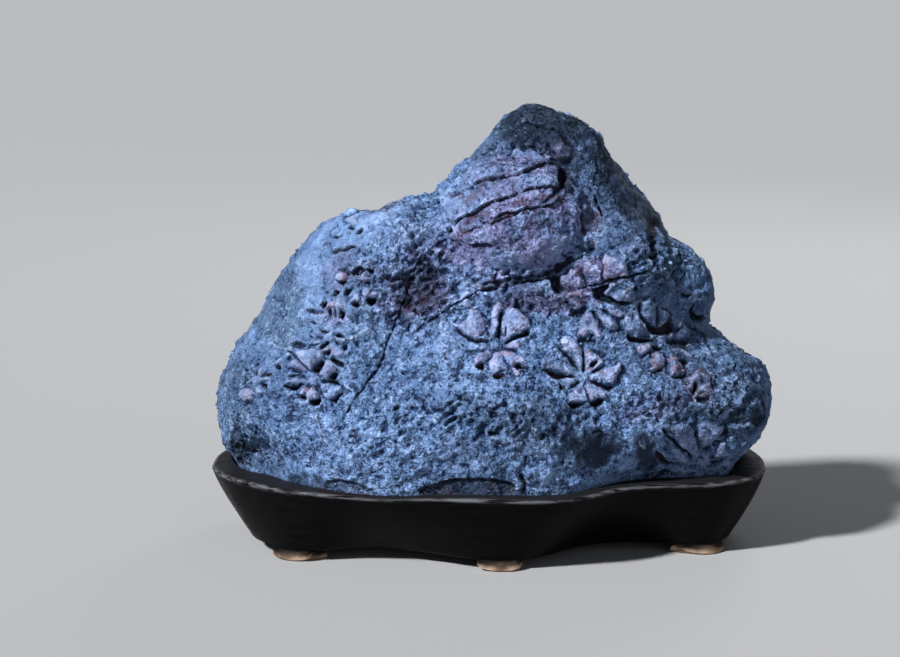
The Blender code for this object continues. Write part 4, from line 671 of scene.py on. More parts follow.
# How squarely the skin has to look at the viewer to carry the figures, how far the edges of
# figures and patches wander, and how near a knob's place the skin is that it stands on
FACING = (-0.02, 0.22)
EDGE_WANDER = 0.45
EDGE_JITTER = 0.40
PATCH_WANDER = 5
PATCH_SHIFT = 6
KNOB_ANCHOR = 2.5

# The rock's own grain on the face: cosine and sine of its turn, and how much it is drawn out
GRAIN_TURN = (0.82, 0.57)
GRAIN_STRETCH = 2.3

# Flowers: fine ribs along the petals, width of a petal's rounding and of its pink edge, radii
# between which the star fades, and how deep the figure is dished
STRIAE_RISE = 0.22
PETAL_ROUNDING = 2.6
PINK_WIDTH = (3.4, 0.8)
STAR_RADII = (2.8, 1.2)
DISH_DEPTH = 1.6
DISH_FALL = 1.8

# Rounds of averaging that tell close and wide hollows and ridges from the skin round them, for
# the painted shade in hollows and the painted light on ridges
CLOSE_ROUNDS = 10
WIDE_ROUNDS = 80

# How far in millimetres the skin's parts stand up, and how deep its pits and rear cracks are
COARSE_RISE = 0.9
MIDDLING_RISE = 0.75
LARGE_CHIP_RISE = 0.75
CHIP_RISE = 0.32
FINE_RISE = 0.28
FINEST_RISE = 0.10
STREAK_RISE = 0.30
PIT_DEPTH = 0.8
ROUGH_LEDGE_RISE = 1.2
ROUGH_MIDDLING_RISE = 0.6
ROUGH_CHIP_RISE = 0.40
VEIN_RISE = 0.5
REAR_CRACK_DEPTH = 1.6

# How many lumps there are in a metre of the rock's and the wood's fine colouring
MOTTLES = 75.0
BROAD_TONES = 24.0
CLOUDS = 110.0
COARSE_GRAINS = 640.0
FINE_GRAINS = 1500.0
SWIRLS = 260.0
CHIP_GRAINS = 420.0
SMALL_CHIP_GRAINS = 820.0
SPECKLES = 230.0
# Lumps of the two dark colours in cracks and hollows, which are partly stain and partly painted
# shade
STAIN_AND_SHADE_LUMPS = 45.0
VEIN_NET = 62.0
VEINED_PLACES = 20.0
TOE_STAINS = 90.0
SWIRL_REACH = 0.003

# Colours of the rock, the wood, the floor and the sky
BLUE_ROCK = ((0.100, 0.180, 0.365, 1), (0.138, 0.238, 0.455, 1))
PURPLE_ROCK = (0.135, 0.128, 0.270, 1)
GREEN_ROCK = (0.052, 0.100, 0.165, 1)
# Laid over the dark patches: partly darker rock, partly painted shade
SHADED_ROCK = (0.004, 0.009, 0.023, 1)
PETAL_BLOOM = ((0.210, 0.250, 0.430, 1), (0.310, 0.350, 0.550, 1))
PINK_EDGE = (0.400, 0.190, 0.195, 1)
# The light and deep grain colours also carry painted light on ridges and painted shade in hollows
LIGHT_GRAIN_AND_RIDGE_LIGHT = ((0.305, 0.455, 0.760, 1), (0.345, 0.405, 0.700, 1))
LIGHT_PETAL_GRAIN_AND_RIDGE_LIGHT = (0.320, 0.375, 0.600, 1)
DEEP_GRAIN_AND_HOLLOW_SHADE = ((0.018, 0.042, 0.118, 1), (0.024, 0.022, 0.068, 1))
RUSTY_BAND = (0.060, 0.020, 0.030, 1)
# Dark colours of cracks and hollows: partly stain, partly painted shade
CRACK_STAIN_AND_SHADE = ((0.006, 0.010, 0.024, 1), (0.028, 0.015, 0.018, 1))
THIN_VEIN = (0.34, 0.44, 0.70, 1)
PALE_VEIN = (0.40, 0.50, 0.74, 1)
WOOD = ((0.0007, 0.0007, 0.0010, 1), (0.0022, 0.0022, 0.0027, 1))
WOOD_PORES = (0.002, 0.002, 0.002, 1)
WOOD_TOP = (0.018, 0.017, 0.019, 1)
# Along the rim's outer edge: worn wood and a painted highlight
WORN_EDGE_AND_HIGHLIGHT = (0.120, 0.124, 0.140, 1)
WORN_TOE = ((0.110, 0.070, 0.045, 1), (0.420, 0.300, 0.220, 1))
FLOOR_GREY = (0.335, 0.34, 0.35, 1)
LOW_SKY = (0.525, 0.535, 0.55, 1)
HIGH_SKY = (0.07, 0.075, 0.085, 1)


def smoothstep(low, high, value):
    t = np.clip((value - low) / (high - low), 0.0, 1.0)
    return t * t * (3.0 - 2.0 * t)


def smooth_union(a, b, blend):
    h = np.clip(0.5 + 0.5 * (b - a) / blend, 0.0, 1.0)
    return b + (a - b) * h - blend * h * (1.0 - h)


def smooth_cut(a, b, blend):
    return -smooth_union(-a, -b, blend)


def gradient_noise(points, spacing, seed):
    """Smooth noise between about -1 and 1 whose lumps are `spacing` millimetres apart."""
    rng = np.random.default_rng(seed)
    table = rng.permutation(256)
    gradients = rng.normal(size=(256, 3))
    gradients /= np.linalg.norm(gradients, axis=1)[:, None]
    scaled = points / spacing
    cell = np.floor(scaled).astype(int)
    within = scaled - cell
    fade = within ** 3 * (within * (within * 6 - 15) + 10)
    total = np.zeros(len(points))
    for corner in itertools.product((0, 1), repeat=3):
        c = (cell + corner) & 255
        slot = table[(table[(table[c[:, 0]] + c[:, 1]) & 255] + c[:, 2]) & 255]
        weight = np.prod(np.where(corner, fade, 1 - fade), axis=1)
        total += weight * np.einsum("ij,ij->i", gradients[slot], within - corner)
    return 1.6 * total


def lumps(points, kind):
    return gradient_noise(points, *LUMPINESS[kind])


def facets(points, spacing, seed):
    """Height between about -1 and 1 of a skin broken into small flat chips, each tilted."""
    rng = np.random.default_rng(seed)
    table = rng.permutation(256)
    offsets = rng.random((256, 3))
    levels = rng.uniform(-0.6, 0.6, 256)
    tilts = rng.normal(size=(256, 3)) * 0.8
    scaled = points / spacing
    cell = np.floor(scaled).astype(int)
    nearest = np.full(len(points), 9.0)
    height = np.zeros(len(points))
    for step in itertools.product((-1, 0, 1), repeat=3):
        c = cell + step
        h = c & 255
        slot = table[(table[(table[h[:, 0]] + h[:, 1]) & 255] + h[:, 2]) & 255]
        away = scaled - c - offsets[slot]
        distance = np.einsum("ij,ij->i", away, away)
        closer = np.nonzero(distance < nearest)[0]
        nearest[closer] = distance[closer]
        chip = slot[closer]
        height[closer] = levels[chip] + np.einsum("ij,ij->i", tilts[chip], away[closer])
    return np.clip(height, -1.3, 1.3)


def face_coordinates(points):
    offset = points - AIM
    scale = VIEW_DISTANCE / (VIEW_DISTANCE - offset @ TOWARD_VIEWER)
    return offset[:, 0] * scale, (offset @ VIEW_UP) * scale


def line_distance(across, up, line):
    """Distance to a line of straight pieces, the side it lies on, and the way along, 0 to 1."""
    nearest = np.full(across.shape, np.inf)
    side = np.zeros(across.shape)
    along = np.zeros(across.shape)
    pieces = len(line) - 1
    for number, ((x0, y0), (x1, y1)) in enumerate(zip(line, line[1:])):
        dx = x1 - x0
        dy = y1 - y0
        t = np.clip(((across - x0) * dx + (up - y0) * dy) / (dx * dx + dy * dy), 0.0, 1.0)
        distance = np.hypot(across - x0 - t * dx, up - y0 - t * dy)
        closer = distance < nearest
        nearest = np.where(closer, distance, nearest)
        side = np.where(closer, np.sign(dx * (up - y0) - dy * (across - x0)), side)
        along = np.where(closer, (number + t) / pieces, along)
    return nearest, side, along


def inside_outline(across, up, outline):
    """Which face points lie inside a closed outline."""
    inside = np.zeros(across.shape, bool)
    for (x0, y0), (x1, y1) in zip(outline, outline[1:] + outline[:1]):
        crosses = (y0 > up) != (y1 > up)
        inside ^= crosses & (across < x0 + (up - y0) * (x1 - x0) / ((y1 - y0) or 1.0))
    return inside


class OutlineMap:
    """How far inside the outline a face point lies, looked up on a grid of 1 mm."""

    LOW = (-150, -130)
    SIZE = (340, 270)
    SOFTENING = 8

    def __init__(self, outline):
        x, y = np.meshgrid(np.arange(self.SIZE[0]) + self.LOW[0],
                           np.arange(self.SIZE[1]) + self.LOW[1], indexing="ij")
        across = x.ravel().astype(float)
        up = y.ravel().astype(float)
        distance = line_distance(across, up, outline)[0]
        inside = inside_outline(across, up, outline)
        depth = np.where(inside, distance, -distance).reshape(self.SIZE)
        self.exact = depth
        self.soft = depth + smoothstep(4, 20, depth) * (self.blurred(depth) - depth)

    def blurred(self, grid):
        reach = np.arange(-2 * self.SOFTENING, 2 * self.SOFTENING + 1)
        weights = np.exp(-0.5 * (reach / self.SOFTENING) ** 2)
        weights /= weights.sum()
        padded = np.pad(grid, 2 * self.SOFTENING, mode="edge")
        rows = np.array([np.convolve(row, weights, "valid") for row in padded])
        return np.array([np.convolve(column, weights, "valid") for column in rows.T]).T

    def look_up(self, grid, across, up):
        x = np.clip(across - self.LOW[0], 0, self.SIZE[0] - 1.001)
        y = np.clip(up - self.LOW[1], 0, self.SIZE[1] - 1.001)
        i = x.astype(int)
        j = y.astype(int)
        fx = x - i
        fy = y - j
        low = grid[i, j] * (1 - fx) + grid[i + 1, j] * fx
        high = grid[i, j + 1] * (1 - fx) + grid[i + 1, j + 1] * fx
        return low * (1 - fy) + high * fy


OUTLINE_MAP = OutlineMap(OUTLINE)


def at_height(height, values):
    """A body measure at each height, rounded off between the heights it is given at."""
    around = [np.interp(height + shift, BODY_HEIGHTS, values) for shift in BODY_SHIFTS]
    return sum(around) / len(BODY_SHIFTS)


def rounded_distance(parts, radii):
    """About the distance to an ellipsoid or a rounded slab, negative inside."""
    level = np.sqrt(sum(part ** 2 for part in parts))
    slope = np.sqrt(sum((part / radius) ** 2 for part, radius in zip(parts, radii)))
    return level * (level - 1.0) / slope


def ellipsoid(points, centre, radii):
    parts = [np.maximum(np.abs(points[:, i] - centre[i]) / radii[i], 0.02) for i in range(3)]
    return rounded_distance(parts, radii)


def stone_field(points):
    """About the distance in millimetres to the smooth stone, negative inside it."""
    across, up = face_coordinates(points)
    height = points[:, 2]
    rounding = at_height(height, BODY_ROUNDING)
    front = points[:, 1] < 0
    half = np.where(front, at_height(height, BODY_FRONT), at_height(height, BODY_BACK))
    soft_depth = OUTLINE_MAP.look_up(OUTLINE_MAP.soft, across, up)
    inward = np.maximum(1.0 - soft_depth / rounding, 0.0)
    deep = np.maximum(np.abs(points[:, 1]) / half, 0.02)
    field = rounded_distance((inward, deep), (rounding, half))
    for centre, radii, blend in LUMPS.values():
        field = smooth_union(field, ellipsoid(points, centre, radii), blend)
    for centre, radii, blend in HOLLOWS.values():
        field = smooth_cut(field, -ellipsoid(points, centre, radii), blend)
    swell = np.where(front, SWELL_FRONT, SWELL_BACK) * smoothstep(0, 25, soft_depth)
    field += swell * lumps(points, "body")
    field += 0.5 * swell * lumps(points, "body closer")
    exact_depth = OUTLINE_MAP.look_up(OUTLINE_MAP.exact, across, up)
    field = smooth_cut(field, -exact_depth, OUTLINE_BLEND)
    return smooth_cut(field, STONE_BASE - height, BASE_BLEND)


def surface_net(field, low, high, step):
    """A mesh of quads on the surface where the field is zero: vertices and faces."""
    axes = [np.arange(a, b + step, step) for a, b in zip(low, high)]
    corners = np.stack(np.meshgrid(*axes, indexing="ij"), -1)
    values = field(corners.reshape(-1, 3)).reshape(corners.shape[:3])
    cells = tuple(n - 1 for n in values.shape)
    crossing_sum = np.zeros(cells + (3,))
    crossings = np.zeros(cells)
    faces = []
    number = np.full(cells, -1)

    def window(offset, shrink):
        return tuple(slice(o, o + n) for o, n in zip(offset, shrink))

    edges = []
    for axis in range(3):
        ahead = tuple(1 if i == axis else 0 for i in range(3))
        others = [i for i in range(3) if i != axis]
        for a, b in itertools.product((0, 1), repeat=2):
            start = [0, 0, 0]
            start[others[0]] = a
            start[others[1]] = b
            end = [s + d for s, d in zip(start, ahead)]
            v0 = values[window(start, cells)]
            v1 = values[window(end, cells)]
            crossed = (v0 < 0) != (v1 < 0)
            t = np.where(crossed, v0 / np.where(crossed, v0 - v1, 1.0), 0.0)[..., None]
            p0 = corners[window(start, cells)]
            p1 = corners[window(end, cells)]
            crossing_sum += np.where(crossed[..., None], p0 + t * (p1 - p0), 0.0)
            crossings += crossed
        edges.append((axis, ahead, others))
    used = crossings > 0
    number[used] = np.arange(used.sum())
    vertices = crossing_sum[used] / crossings[used][:, None]
    for axis, ahead, others in edges:
        size = [n - 2 for n in values.shape]
        size[axis] += 1
        start = [1, 1, 1]
        start[axis] = 0
        v0 = values[window(start, size)]
        v1 = values[window([s + d for s, d in zip(start, ahead)], size)]
        ring = []
        for a, b in ((0, 0), (1, 0), (1, 1), (0, 1)):
            cell = list(start)
            cell[others[0]] -= a
            cell[others[1]] -= b
            ring.append(number[window(cell, size)])
        ring = np.stack(ring, -1)
        leaving = (v0 < 0) & (v1 >= 0)
        entering = (v0 >= 0) & (v1 < 0)
        if axis == 1:
            leaving, entering = entering, leaving
        faces.append(ring[leaving])
        faces.append(ring[entering][:, ::-1])
    return vertices, np.concatenate(faces)


def field_gradient(field, points, reach=0.4):
    steps = np.eye(3) * reach
    slopes = [field(points + s) - field(points - s) for s in steps]
    return np.stack(slopes, -1) / (2 * reach)


def settled_on_surface(field, points):
    """Moves points onto the field's zero surface."""
    for _ in range(3):
        slope = field_gradient(field, points)
        length = np.maximum(np.einsum("ij,ij->i", slope, slope), 0.2)
        points = points - slope * np.clip(field(points) / length, -1.5, 1.5)[:, None]
    return points


def depth_within(across, up, outline):
    """The points near a closed outline, and how far inside it each of them lies."""
    low = np.min(outline, axis=0) - 2.0
    high = np.max(outline, axis=0) + 2.0
    near = (across > low[0]) & (across < high[0]) & (up > low[1]) & (up < high[1])
    near = np.nonzero(near)[0]
    distance = line_distance(across[near], up[near], outline + outline[:1])[0]
    inside = inside_outline(across[near], up[near], outline)
    return near, np.where(inside, distance, -distance)


def flower_relief(across, up, flower):
    """One flower figure: its height over the ground, its petals, their pink edges and hollows."""
    dx = across - flower["centre"][0]
    dy = up - flower["centre"][1]
    radius = np.hypot(dx, dy)
    turn = np.arctan2(dy, dx)
    boost = flower.get("boost", 1.0)
    star = flower.get("star", 0.9)
    reach = max((math.dist(flower["centre"], corner) for part in flower["petals"]
                 for corner in part[-1]), default=1.0)
    striae = lumps(np.stack((9 * turn, radius / 9, 0 * radius), -1), "striae")
    height = np.zeros(across.shape)
    petals = np.zeros(across.shape)
    edges = np.zeros(across.shape)
    hollows = np.zeros(across.shape)
    for rise, pale, pink, outline in flower["petals"]:
        near, within = depth_within(across, up, outline)
        far = max(math.dist(flower["centre"], corner) for corner in outline)
        shoulder = smoothstep(-0.4, 0.5, within)
        climb = 0.35 + 0.65 * smoothstep(0.15, 0.9, radius[near] / far)
        crown = 0.55 + 0.45 * np.clip(within / PETAL_ROUNDING, 0, 1)
        own = shoulder * (boost * rise * climb * crown + STRIAE_RISE * striae[near])
        height[near] = np.maximum(height[near], own)
        petals[near] = np.maximum(petals[near], pale * shoulder)
        rim = pink * shoulder * smoothstep(*PINK_WIDTH, within)
        edges[near] = np.maximum(edges[near], rim)
    middle = smoothstep(*STAR_RADII, radius)
    height = np.maximum(height, star * middle)
    petals = np.maximum(petals, 0.8 * star * middle)
    for depth, stain_and_shade, outline in flower["hollows"]:
        near, within = depth_within(across, up, outline)
        cut = smoothstep(-0.35, 0.65, within)
        deep = boost * (depth + 0.5) * smoothstep(-0.4, 1.4, within)
        height[near] = height[near] * (1 - cut) - deep * cut
        petals[near] *= 1 - cut
        edges[near] *= 1 - cut
        # How dark the hollow is painted: partly stain, partly painted shade
        hollows[near] = np.maximum(hollows[near], stain_and_shade * cut)
    dish = DISH_DEPTH * (star > 0) * np.exp(-DISH_FALL * (radius / reach) ** 2)
    return height - dish, petals, edges, hollows


def face_relief(across, up):
    """All that stands up or is cut in on the face: height, petals, their edges and hollows."""
    height = np.zeros(across.shape)
    petals = np.zeros(across.shape)
    edges = np.zeros(across.shape)
    hollows = np.zeros(across.shape)
    distance = line_distance(across, up, VALLEY)[0]
    height -= VALLEY_DEPTH * np.exp(-(distance / VALLEY_WIDTH) ** 2)
    for width, depth, lip, stain_and_shade, line in CREASES.values():
        near = np.nonzero((np.abs(across - np.mean([p[0] for p in line])) < 80)
                          & (np.abs(up - np.mean([p[1] for p in line])) < 80))[0]
        distance, side, along = line_distance(across[near], up[near], line)
        ends = smoothstep(0, 0.08, along) * smoothstep(1, 0.92, along)
        here = np.stack((across[near], up[near], 0 * up[near]), -1)
        wobble = 1 + 0.7 * lumps(here, "crack width")
        cut = smoothstep(0.6, 0.1, distance / (width * wobble)) * (0.25 + 0.75 * ends) * wobble
        proud = lip * smoothstep(-0.4, 0.4, side * distance) * np.exp(-distance / 8) * ends
        height[near] += proud - depth * cut
        # How dark the crack is painted: partly stain, partly painted shade
        hollows[near] = np.maximum(hollows[near], np.clip(cut, 0, 1) * stain_and_shade)
    for flower in FLOWERS.values():
        corners = [corner for part in flower["petals"] + flower["hollows"] for corner in part[-1]]
        reach = max(math.dist(flower["centre"], corner) for corner in corners) + 3
        away = np.hypot(across - flower["centre"][0], up - flower["centre"][1])
        near = np.nonzero(away < reach)[0]
        own, where, rim, cut = flower_relief(across[near], up[near], flower)
        height[near] += own
        petals[near] = np.maximum(petals[near] * (1 - cut), where)
        edges[near] = np.maximum(edges[near] * (1 - cut), rim)
        hollows[near] = np.maximum(hollows[near], cut)
    return height, petals, edges, hollows


def patches(across, up, spots):
    """The weight of the strongest of some turned ovals at each point, fading out round them."""
    total = np.zeros(across.shape)
    for x, y, half_width, half_height, turn, weight in spots:
        c = math.cos(math.radians(turn))
        s = math.sin(math.radians(turn))
        along = (c * (across - x) + s * (up - y)) / half_width
        over = (c * (up - y) - s * (across - x)) / half_height
        total = np.maximum(total, weight * smoothstep(1.35, 0.65, np.hypot(along, over)))
    return total


def stone_skin(points, normals):
    """The stone's finished skin: where each point moves to, and the maps its colours follow."""
    across, up = face_coordinates(points)
    to_viewer = AIM + VIEW_DISTANCE * TOWARD_VIEWER - points
    to_viewer /= np.linalg.norm(to_viewer, axis=1)[:, None]
    toward = np.einsum("ij,ij->i", normals, to_viewer)
    facing = smoothstep(*FACING, toward)
    behind = 1 - facing
    skyline = 1 - 0.5 * smoothstep(0.45, 0.1, np.abs(toward))
    wander = np.stack([lumps(points, "wander " + axis) for axis in "xyz"], -1)
    jitter = np.stack([lumps(points, "jitter " + axis) for axis in "xy"], -1)
    broad = lumps(points, "broad")
    face_x = across + EDGE_WANDER * wander[:, 0] + EDGE_JITTER * jitter[:, 0]
    face_y = up + EDGE_WANDER * wander[:, 1] + EDGE_JITTER * jitter[:, 1]
    relief, petals, edges, hollows = face_relief(face_x, face_y)
    knobs = np.zeros(across.shape)
    for x, y, size, rise in KNOBS:
        near = (np.hypot(across - x, up - y) < KNOB_ANCHOR) & (toward > 0)
        away = np.linalg.norm(points - points[near].mean(0), axis=1) / size
        knobs = np.maximum(knobs, rise * np.clip(1 - away ** 2, 0, 1) ** 0.4)
    patch_x = across + PATCH_WANDER * wander[:, 0] + PATCH_SHIFT * broad
    patch_y = up + PATCH_WANDER * wander[:, 1] - PATCH_SHIFT * broad
    rough = np.maximum(facing * patches(patch_x, patch_y, ROUGH_PATCHES),
                       behind * smoothstep(0.0, 0.35, lumps(points, "rough behind")))
    smooth = facing * patches(patch_x, patch_y, SMOOTH_PATCHES)
    purple = np.maximum(facing * patches(patch_x, patch_y, PURPLE_PATCHES),
                        behind * smoothstep(0.05, 0.4, lumps(points, "purple behind")))
    green = np.maximum(facing * patches(patch_x, patch_y, GREEN_PATCHES),
                       behind * smoothstep(-0.05, 0.35, lumps(points, "green behind")))
    # Darker rock and painted shade: darker where the face turns from the light, in hollows, and
    # toward the right and the top
    dark = facing * patches(patch_x, patch_y, DARK_ROCK_AND_SHADE_PATCHES)
    blush = facing * patches(patch_x, patch_y, BLUSH_PATCHES)
    petals = np.maximum(petals, patches(patch_x, patch_y, PALE_PATCHES))

    calm = np.clip(1 - 0.4 * petals - 0.8 * smooth, 0.15, 1)
    warped = points + 1.1 * wander
    c, s = GRAIN_TURN
    grain_turn = np.stack((c * across + s * up, GRAIN_STRETCH * (c * up - s * across),
                           points[:, 1]), -1)
    ledges = 1 - 2.6 * np.abs(lumps(grain_turn + 1.5 * wander, "ledges"))
    streaks = lumps(grain_turn, "streaks")
    coarse = lumps(points, "coarse")
    middling = lumps(points, "middling")
    fine = lumps(points, "fine")
    finest = lumps(points, "finest")
    chips = facets(warped, *CHIPS)
    large_chips = facets(warped + 1.5 * coarse[:, None], *LARGE_CHIPS)
    holes = smoothstep(0.55, 0.85, lumps(warped * (1, 1, 1.25), "pits"))
    holes *= smoothstep(-0.15, 0.35, lumps(points, "pitted places") + 0.4 * rough)
    skin = (COARSE_RISE * coarse + MIDDLING_RISE * middling
            + LARGE_CHIP_RISE * large_chips * (0.5 + 0.8 * rough))
    small = (CHIP_RISE * chips + FINE_RISE * fine + FINEST_RISE * finest
             + STREAK_RISE * streaks - PIT_DEPTH * holes)
    small += rough * (ROUGH_LEDGE_RISE * np.clip(ledges, -0.6, 1)
                      + ROUGH_MIDDLING_RISE * middling + ROUGH_CHIP_RISE * chips)
    skin += calm * skyline * small
    skin *= 1 - 0.35 * petals
    vein = np.zeros(across.shape)
    for line in VEINS:
        distance = line_distance(face_x, face_y, line)[0]
        vein = np.maximum(vein, smoothstep(0.65, 0.15, distance))
    vein *= facing * smoothstep(-0.5, 0.3, middling)
    seam = np.abs(lumps(points, "seam behind") + 0.12 * coarse)
    back_vein = behind * smoothstep(0.016, 0.004, seam)
    crack = np.abs(lumps(points, "crack behind") + 0.10 * coarse + 0.05 * middling)
    back_crack = behind * smoothstep(0.035, 0.008, crack)
    vein = np.maximum(vein, 0.8 * back_vein)
    height = facing * relief + knobs + skin + VEIN_RISE * vein - REAR_CRACK_DEPTH * back_crack
    # Rear cracks and pits are darkened too: partly stain, partly painted shade
    hollows = np.maximum(facing * hollows, back_crack)
    hollows = np.maximum(hollows, 0.7 * holes * calm)
    in_recess = smoothstep(STONE_BASE + 5, STONE_BASE + 16, points[:, 2])
    height = np.where(height > 0, height * in_recess, height * (0.2 + 0.8 * in_recess))
    height *= smoothstep(STONE_BASE, STONE_BASE + 4, points[:, 2])
    moved = points + normals * height[:, None]
    moved[:, 2] = np.maximum(moved[:, 2], STONE_BASE)
    maps = dict(petals=facing * petals, edges=facing * edges, hollows=hollows, vein=vein,
                purple=purple, green=green, dark=dark, smooth=smooth, blush=blush)
    return moved, height, maps


def averaged(values, edges, rounds):
    """Values spread out over a mesh's edges."""
    count = len(values)
    links = np.bincount(edges.ravel(), minlength=count)
    for _ in range(rounds):
        total = np.bincount(edges[:, 0], values[edges[:, 1]], count)
        total += np.bincount(edges[:, 1], values[edges[:, 0]], count)
        values = 0.3 * values + 0.7 * total / links
    return values


def mesh_object(name, vertices, faces):
    """An object from vertices in the drawing's millimetres."""
    mesh = bpy.data.meshes.new(name)
    places = (np.asarray(vertices) - ORIGIN) * METRES
    mesh.from_pydata(places.tolist(), [], [list(map(int, face)) for face in faces])
    made = bpy.data.objects.new(name, mesh)
    bpy.context.collection.objects.link(made)
    return made


def apply_modifiers(target):
    """Replaces an object's mesh by the mesh that its modifiers make."""
    graph = bpy.context.evaluated_depsgraph_get()
    target.data = bpy.data.meshes.new_from_object(target.evaluated_get(graph))
    target.modifiers.clear()


def drawn_points(mesh):
    """A mesh's points in the drawing's millimetres."""
    values = np.empty(len(mesh.vertices) * 3, np.float32)
    mesh.vertices.foreach_get("co", values)
    return values.reshape(-1, 3).astype(float) * MILLIMETRES + ORIGIN


def colour_map(mesh, name, *maps):
    """Up to three maps stored on the mesh's points as one colour attribute."""
    packed = np.ones((len(mesh.vertices), 4), np.float32)
    packed[:, :len(maps)] = np.stack(maps, -1)
    mesh.attributes.new(name, "FLOAT_COLOR", "POINT").data.foreach_set("color", packed.ravel())


def front_refined(mesh):
    """Splits the faces that a viewer in front sees, where the flowers and cracks are."""
    shape = bmesh.new()
    shape.from_mesh(mesh)
    toward = TOWARD_VIEWER.tolist()
    chosen = set()
    for face in shape.faces:
        normal = face.normal
        if sum(a * b for a, b in zip(normal, toward)) > -0.05:
            chosen.update(face.edges)
    bmesh.ops.subdivide_edges(shape, edges=list(chosen), cuts=1, use_grid_fill=True)
    shape.to_mesh(mesh)
    shape.free()


def make_stone():
    vertices, faces = surface_net(stone_field, STONE_LOW, STONE_HIGH, STONE_STEP)
    stone = mesh_object("stone_skin", settled_on_surface(stone_field, vertices), faces)
    even = stone.modifiers.new("Even skin", "SUBSURF")
    even.levels = 1
    even.render_levels = 1
    apply_modifiers(stone)
    mesh = stone.data
    front_refined(mesh)
    points = drawn_points(mesh)
    normals = field_gradient(stone_field, points, 0.8)
    normals /= np.linalg.norm(normals, axis=1)[:, None]
    moved, height, maps = stone_skin(points, normals)
    mesh.vertices.foreach_set("co", ((moved - ORIGIN) * METRES).astype(np.float32).ravel())
    mesh.update()
    edges = np.empty(len(mesh.edges) * 2, np.int32)
    mesh.edges.foreach_get("vertices", edges)
    edges = edges.reshape(-1, 2)
    close = height - averaged(height, edges, CLOSE_ROUNDS)
    wide = height - averaged(height, edges, WIDE_ROUNDS)
    # Painted shade in hollows and painted light on ridges, from how far each point lies below or
    # above the skin round it
    sunk = smoothstep(0.02, 0.6, -close) * 0.7 + smoothstep(0.2, 2.0, -wide) * 0.6
    raised = smoothstep(0.05, 0.7, close) * 0.7 + smoothstep(0.1, 1.8, wide) * 0.4
    colour_map(mesh, "figure", maps["petals"], maps["hollows"], maps["vein"])
    colour_map(mesh, "ground", maps["purple"], maps["green"], maps["dark"])
    colour_map(mesh, "hollow_shade_ridge_light_smooth", np.clip(sunk, 0, 1), np.clip(raised, 0, 1), maps["smooth"])
    colour_map(mesh, "tint", maps["edges"], maps["blush"])
    triangles = sum(len(face.vertices) - 2 for face in mesh.polygons)
    fewer = stone.modifiers.new("Fewer faces", "DECIMATE")
    fewer.ratio = STONE_TRIANGLES / triangles
    fewer.use_collapse_triangulate = True
    apply_modifiers(stone)
    stone.data.shade_smooth()
    return stone


def curve_through(points, per_span):
    """Points on a smooth closed curve through the given ones."""
    ring = np.array(points, float)
    before = np.roll(ring, 1, axis=0)
    after = np.roll(ring, -1, axis=0)
    second = np.roll(ring, -2, axis=0)
    curve = []
    for k in range(len(ring)):
        for t in np.arange(per_span) / per_span:
            bend = 2 * before[k] - 5 * ring[k] + 4 * after[k] - second[k]
            twist = 3 * ring[k] - before[k] - 3 * after[k] + second[k]
            curve.append(0.5 * (2 * ring[k] + (after[k] - before[k]) * t
                                + bend * t ** 2 + twist * t ** 3))
    return np.array(curve)


def recess_edge(rim, height):
    """Where the recess wall stands at some height: just clear of the stone, all round."""
    outer = np.column_stack((rim[:, 0], rim[:, 1], height))
    centre = np.column_stack((np.full((len(rim), 2), RECESS_MIDDLE[:2]), height))
    near = np.zeros(len(rim))
    far = np.ones(len(rim))
    for _ in range(24):
        middle = 0.5 * (near + far)
        outside = stone_field(outer + (centre - outer) * middle[:, None]) > RECESS_SIDE_GAP
        near = np.where(outside, middle, near)
        far = np.where(outside, far, middle)
    return outer + (centre - outer) * near[:, None]


def wall_ring(rim, base, down):
    """A ring of the outer wall, from 0 at the rim to 1 at the base: steepest near the rim."""
    height = rim[:, 2] * (1 - down) + STAND_UNDERSIDE * down
    plan = rim[:, :2] + (base - rim[:, :2]) * down ** WALL_CURVE
    return np.column_stack((plan, height))


def inset_ring(rim, inset, height):
    """The rim's outline moved in by some millimetres."""
    tangent = np.roll(rim, -1, axis=0)[:, :2] - np.roll(rim, 1, axis=0)[:, :2]
    tangent /= np.linalg.norm(tangent, axis=1)[:, None]
    inward = np.column_stack((-tangent[:, 1], tangent[:, 0]))
    return np.column_stack((rim[:, :2] + inward * inset, height))


def lofted(name, rings):
    """A closed solid through rings of equal length, with a fan over each end."""
    count = len(rings[0])
    vertices = np.concatenate(rings + [rings[0].mean(0)[None], rings[-1].mean(0)[None]])
    faces = []
    for level in range(len(rings) - 1):
        for k in range(count):
            n = (k + 1) % count
            faces.append((level * count + k, level * count + n,
                          (level + 1) * count + n, (level + 1) * count + k))
    first = len(vertices) - 2
    last = len(vertices) - 1
    end = (len(rings) - 1) * count
    for k in range(count):
        n = (k + 1) % count
        faces.append((n, k, first))
        faces.append((end + k, end + n, last))
    made = mesh_object(name, vertices, faces)
    shape = bmesh.new()
    shape.from_mesh(made.data)
    bmesh.ops.recalc_face_normals(shape, faces=shape.faces)
    shape.to_mesh(made.data)
    shape.free()
    return made


def foot_outline(base, place):
    """Plan of a crescent foot: its outer edge follows the base, its inner edge bows inwards."""
    middle = np.argmin(np.hypot(base[:, 0] - place[0], base[:, 1] - place[1]))
    ring = np.roll(base, len(base) // 2 - middle, axis=0)
    spread = np.hypot(ring[:, 0] - base[middle, 0], ring[:, 1] - base[middle, 1])
    run = ring[spread < 0.5 * FOOT_WIDTH]
    inward = -base[middle] / np.linalg.norm(base[middle])
    bow = np.sqrt(np.clip(1 - np.linspace(-1, 1, len(run)) ** 2, 0, 1))
    inner = run + inward * (2.0 + FOOT_DEPTH * bow)[:, None]
    return run, inner[::-1], inward, bow


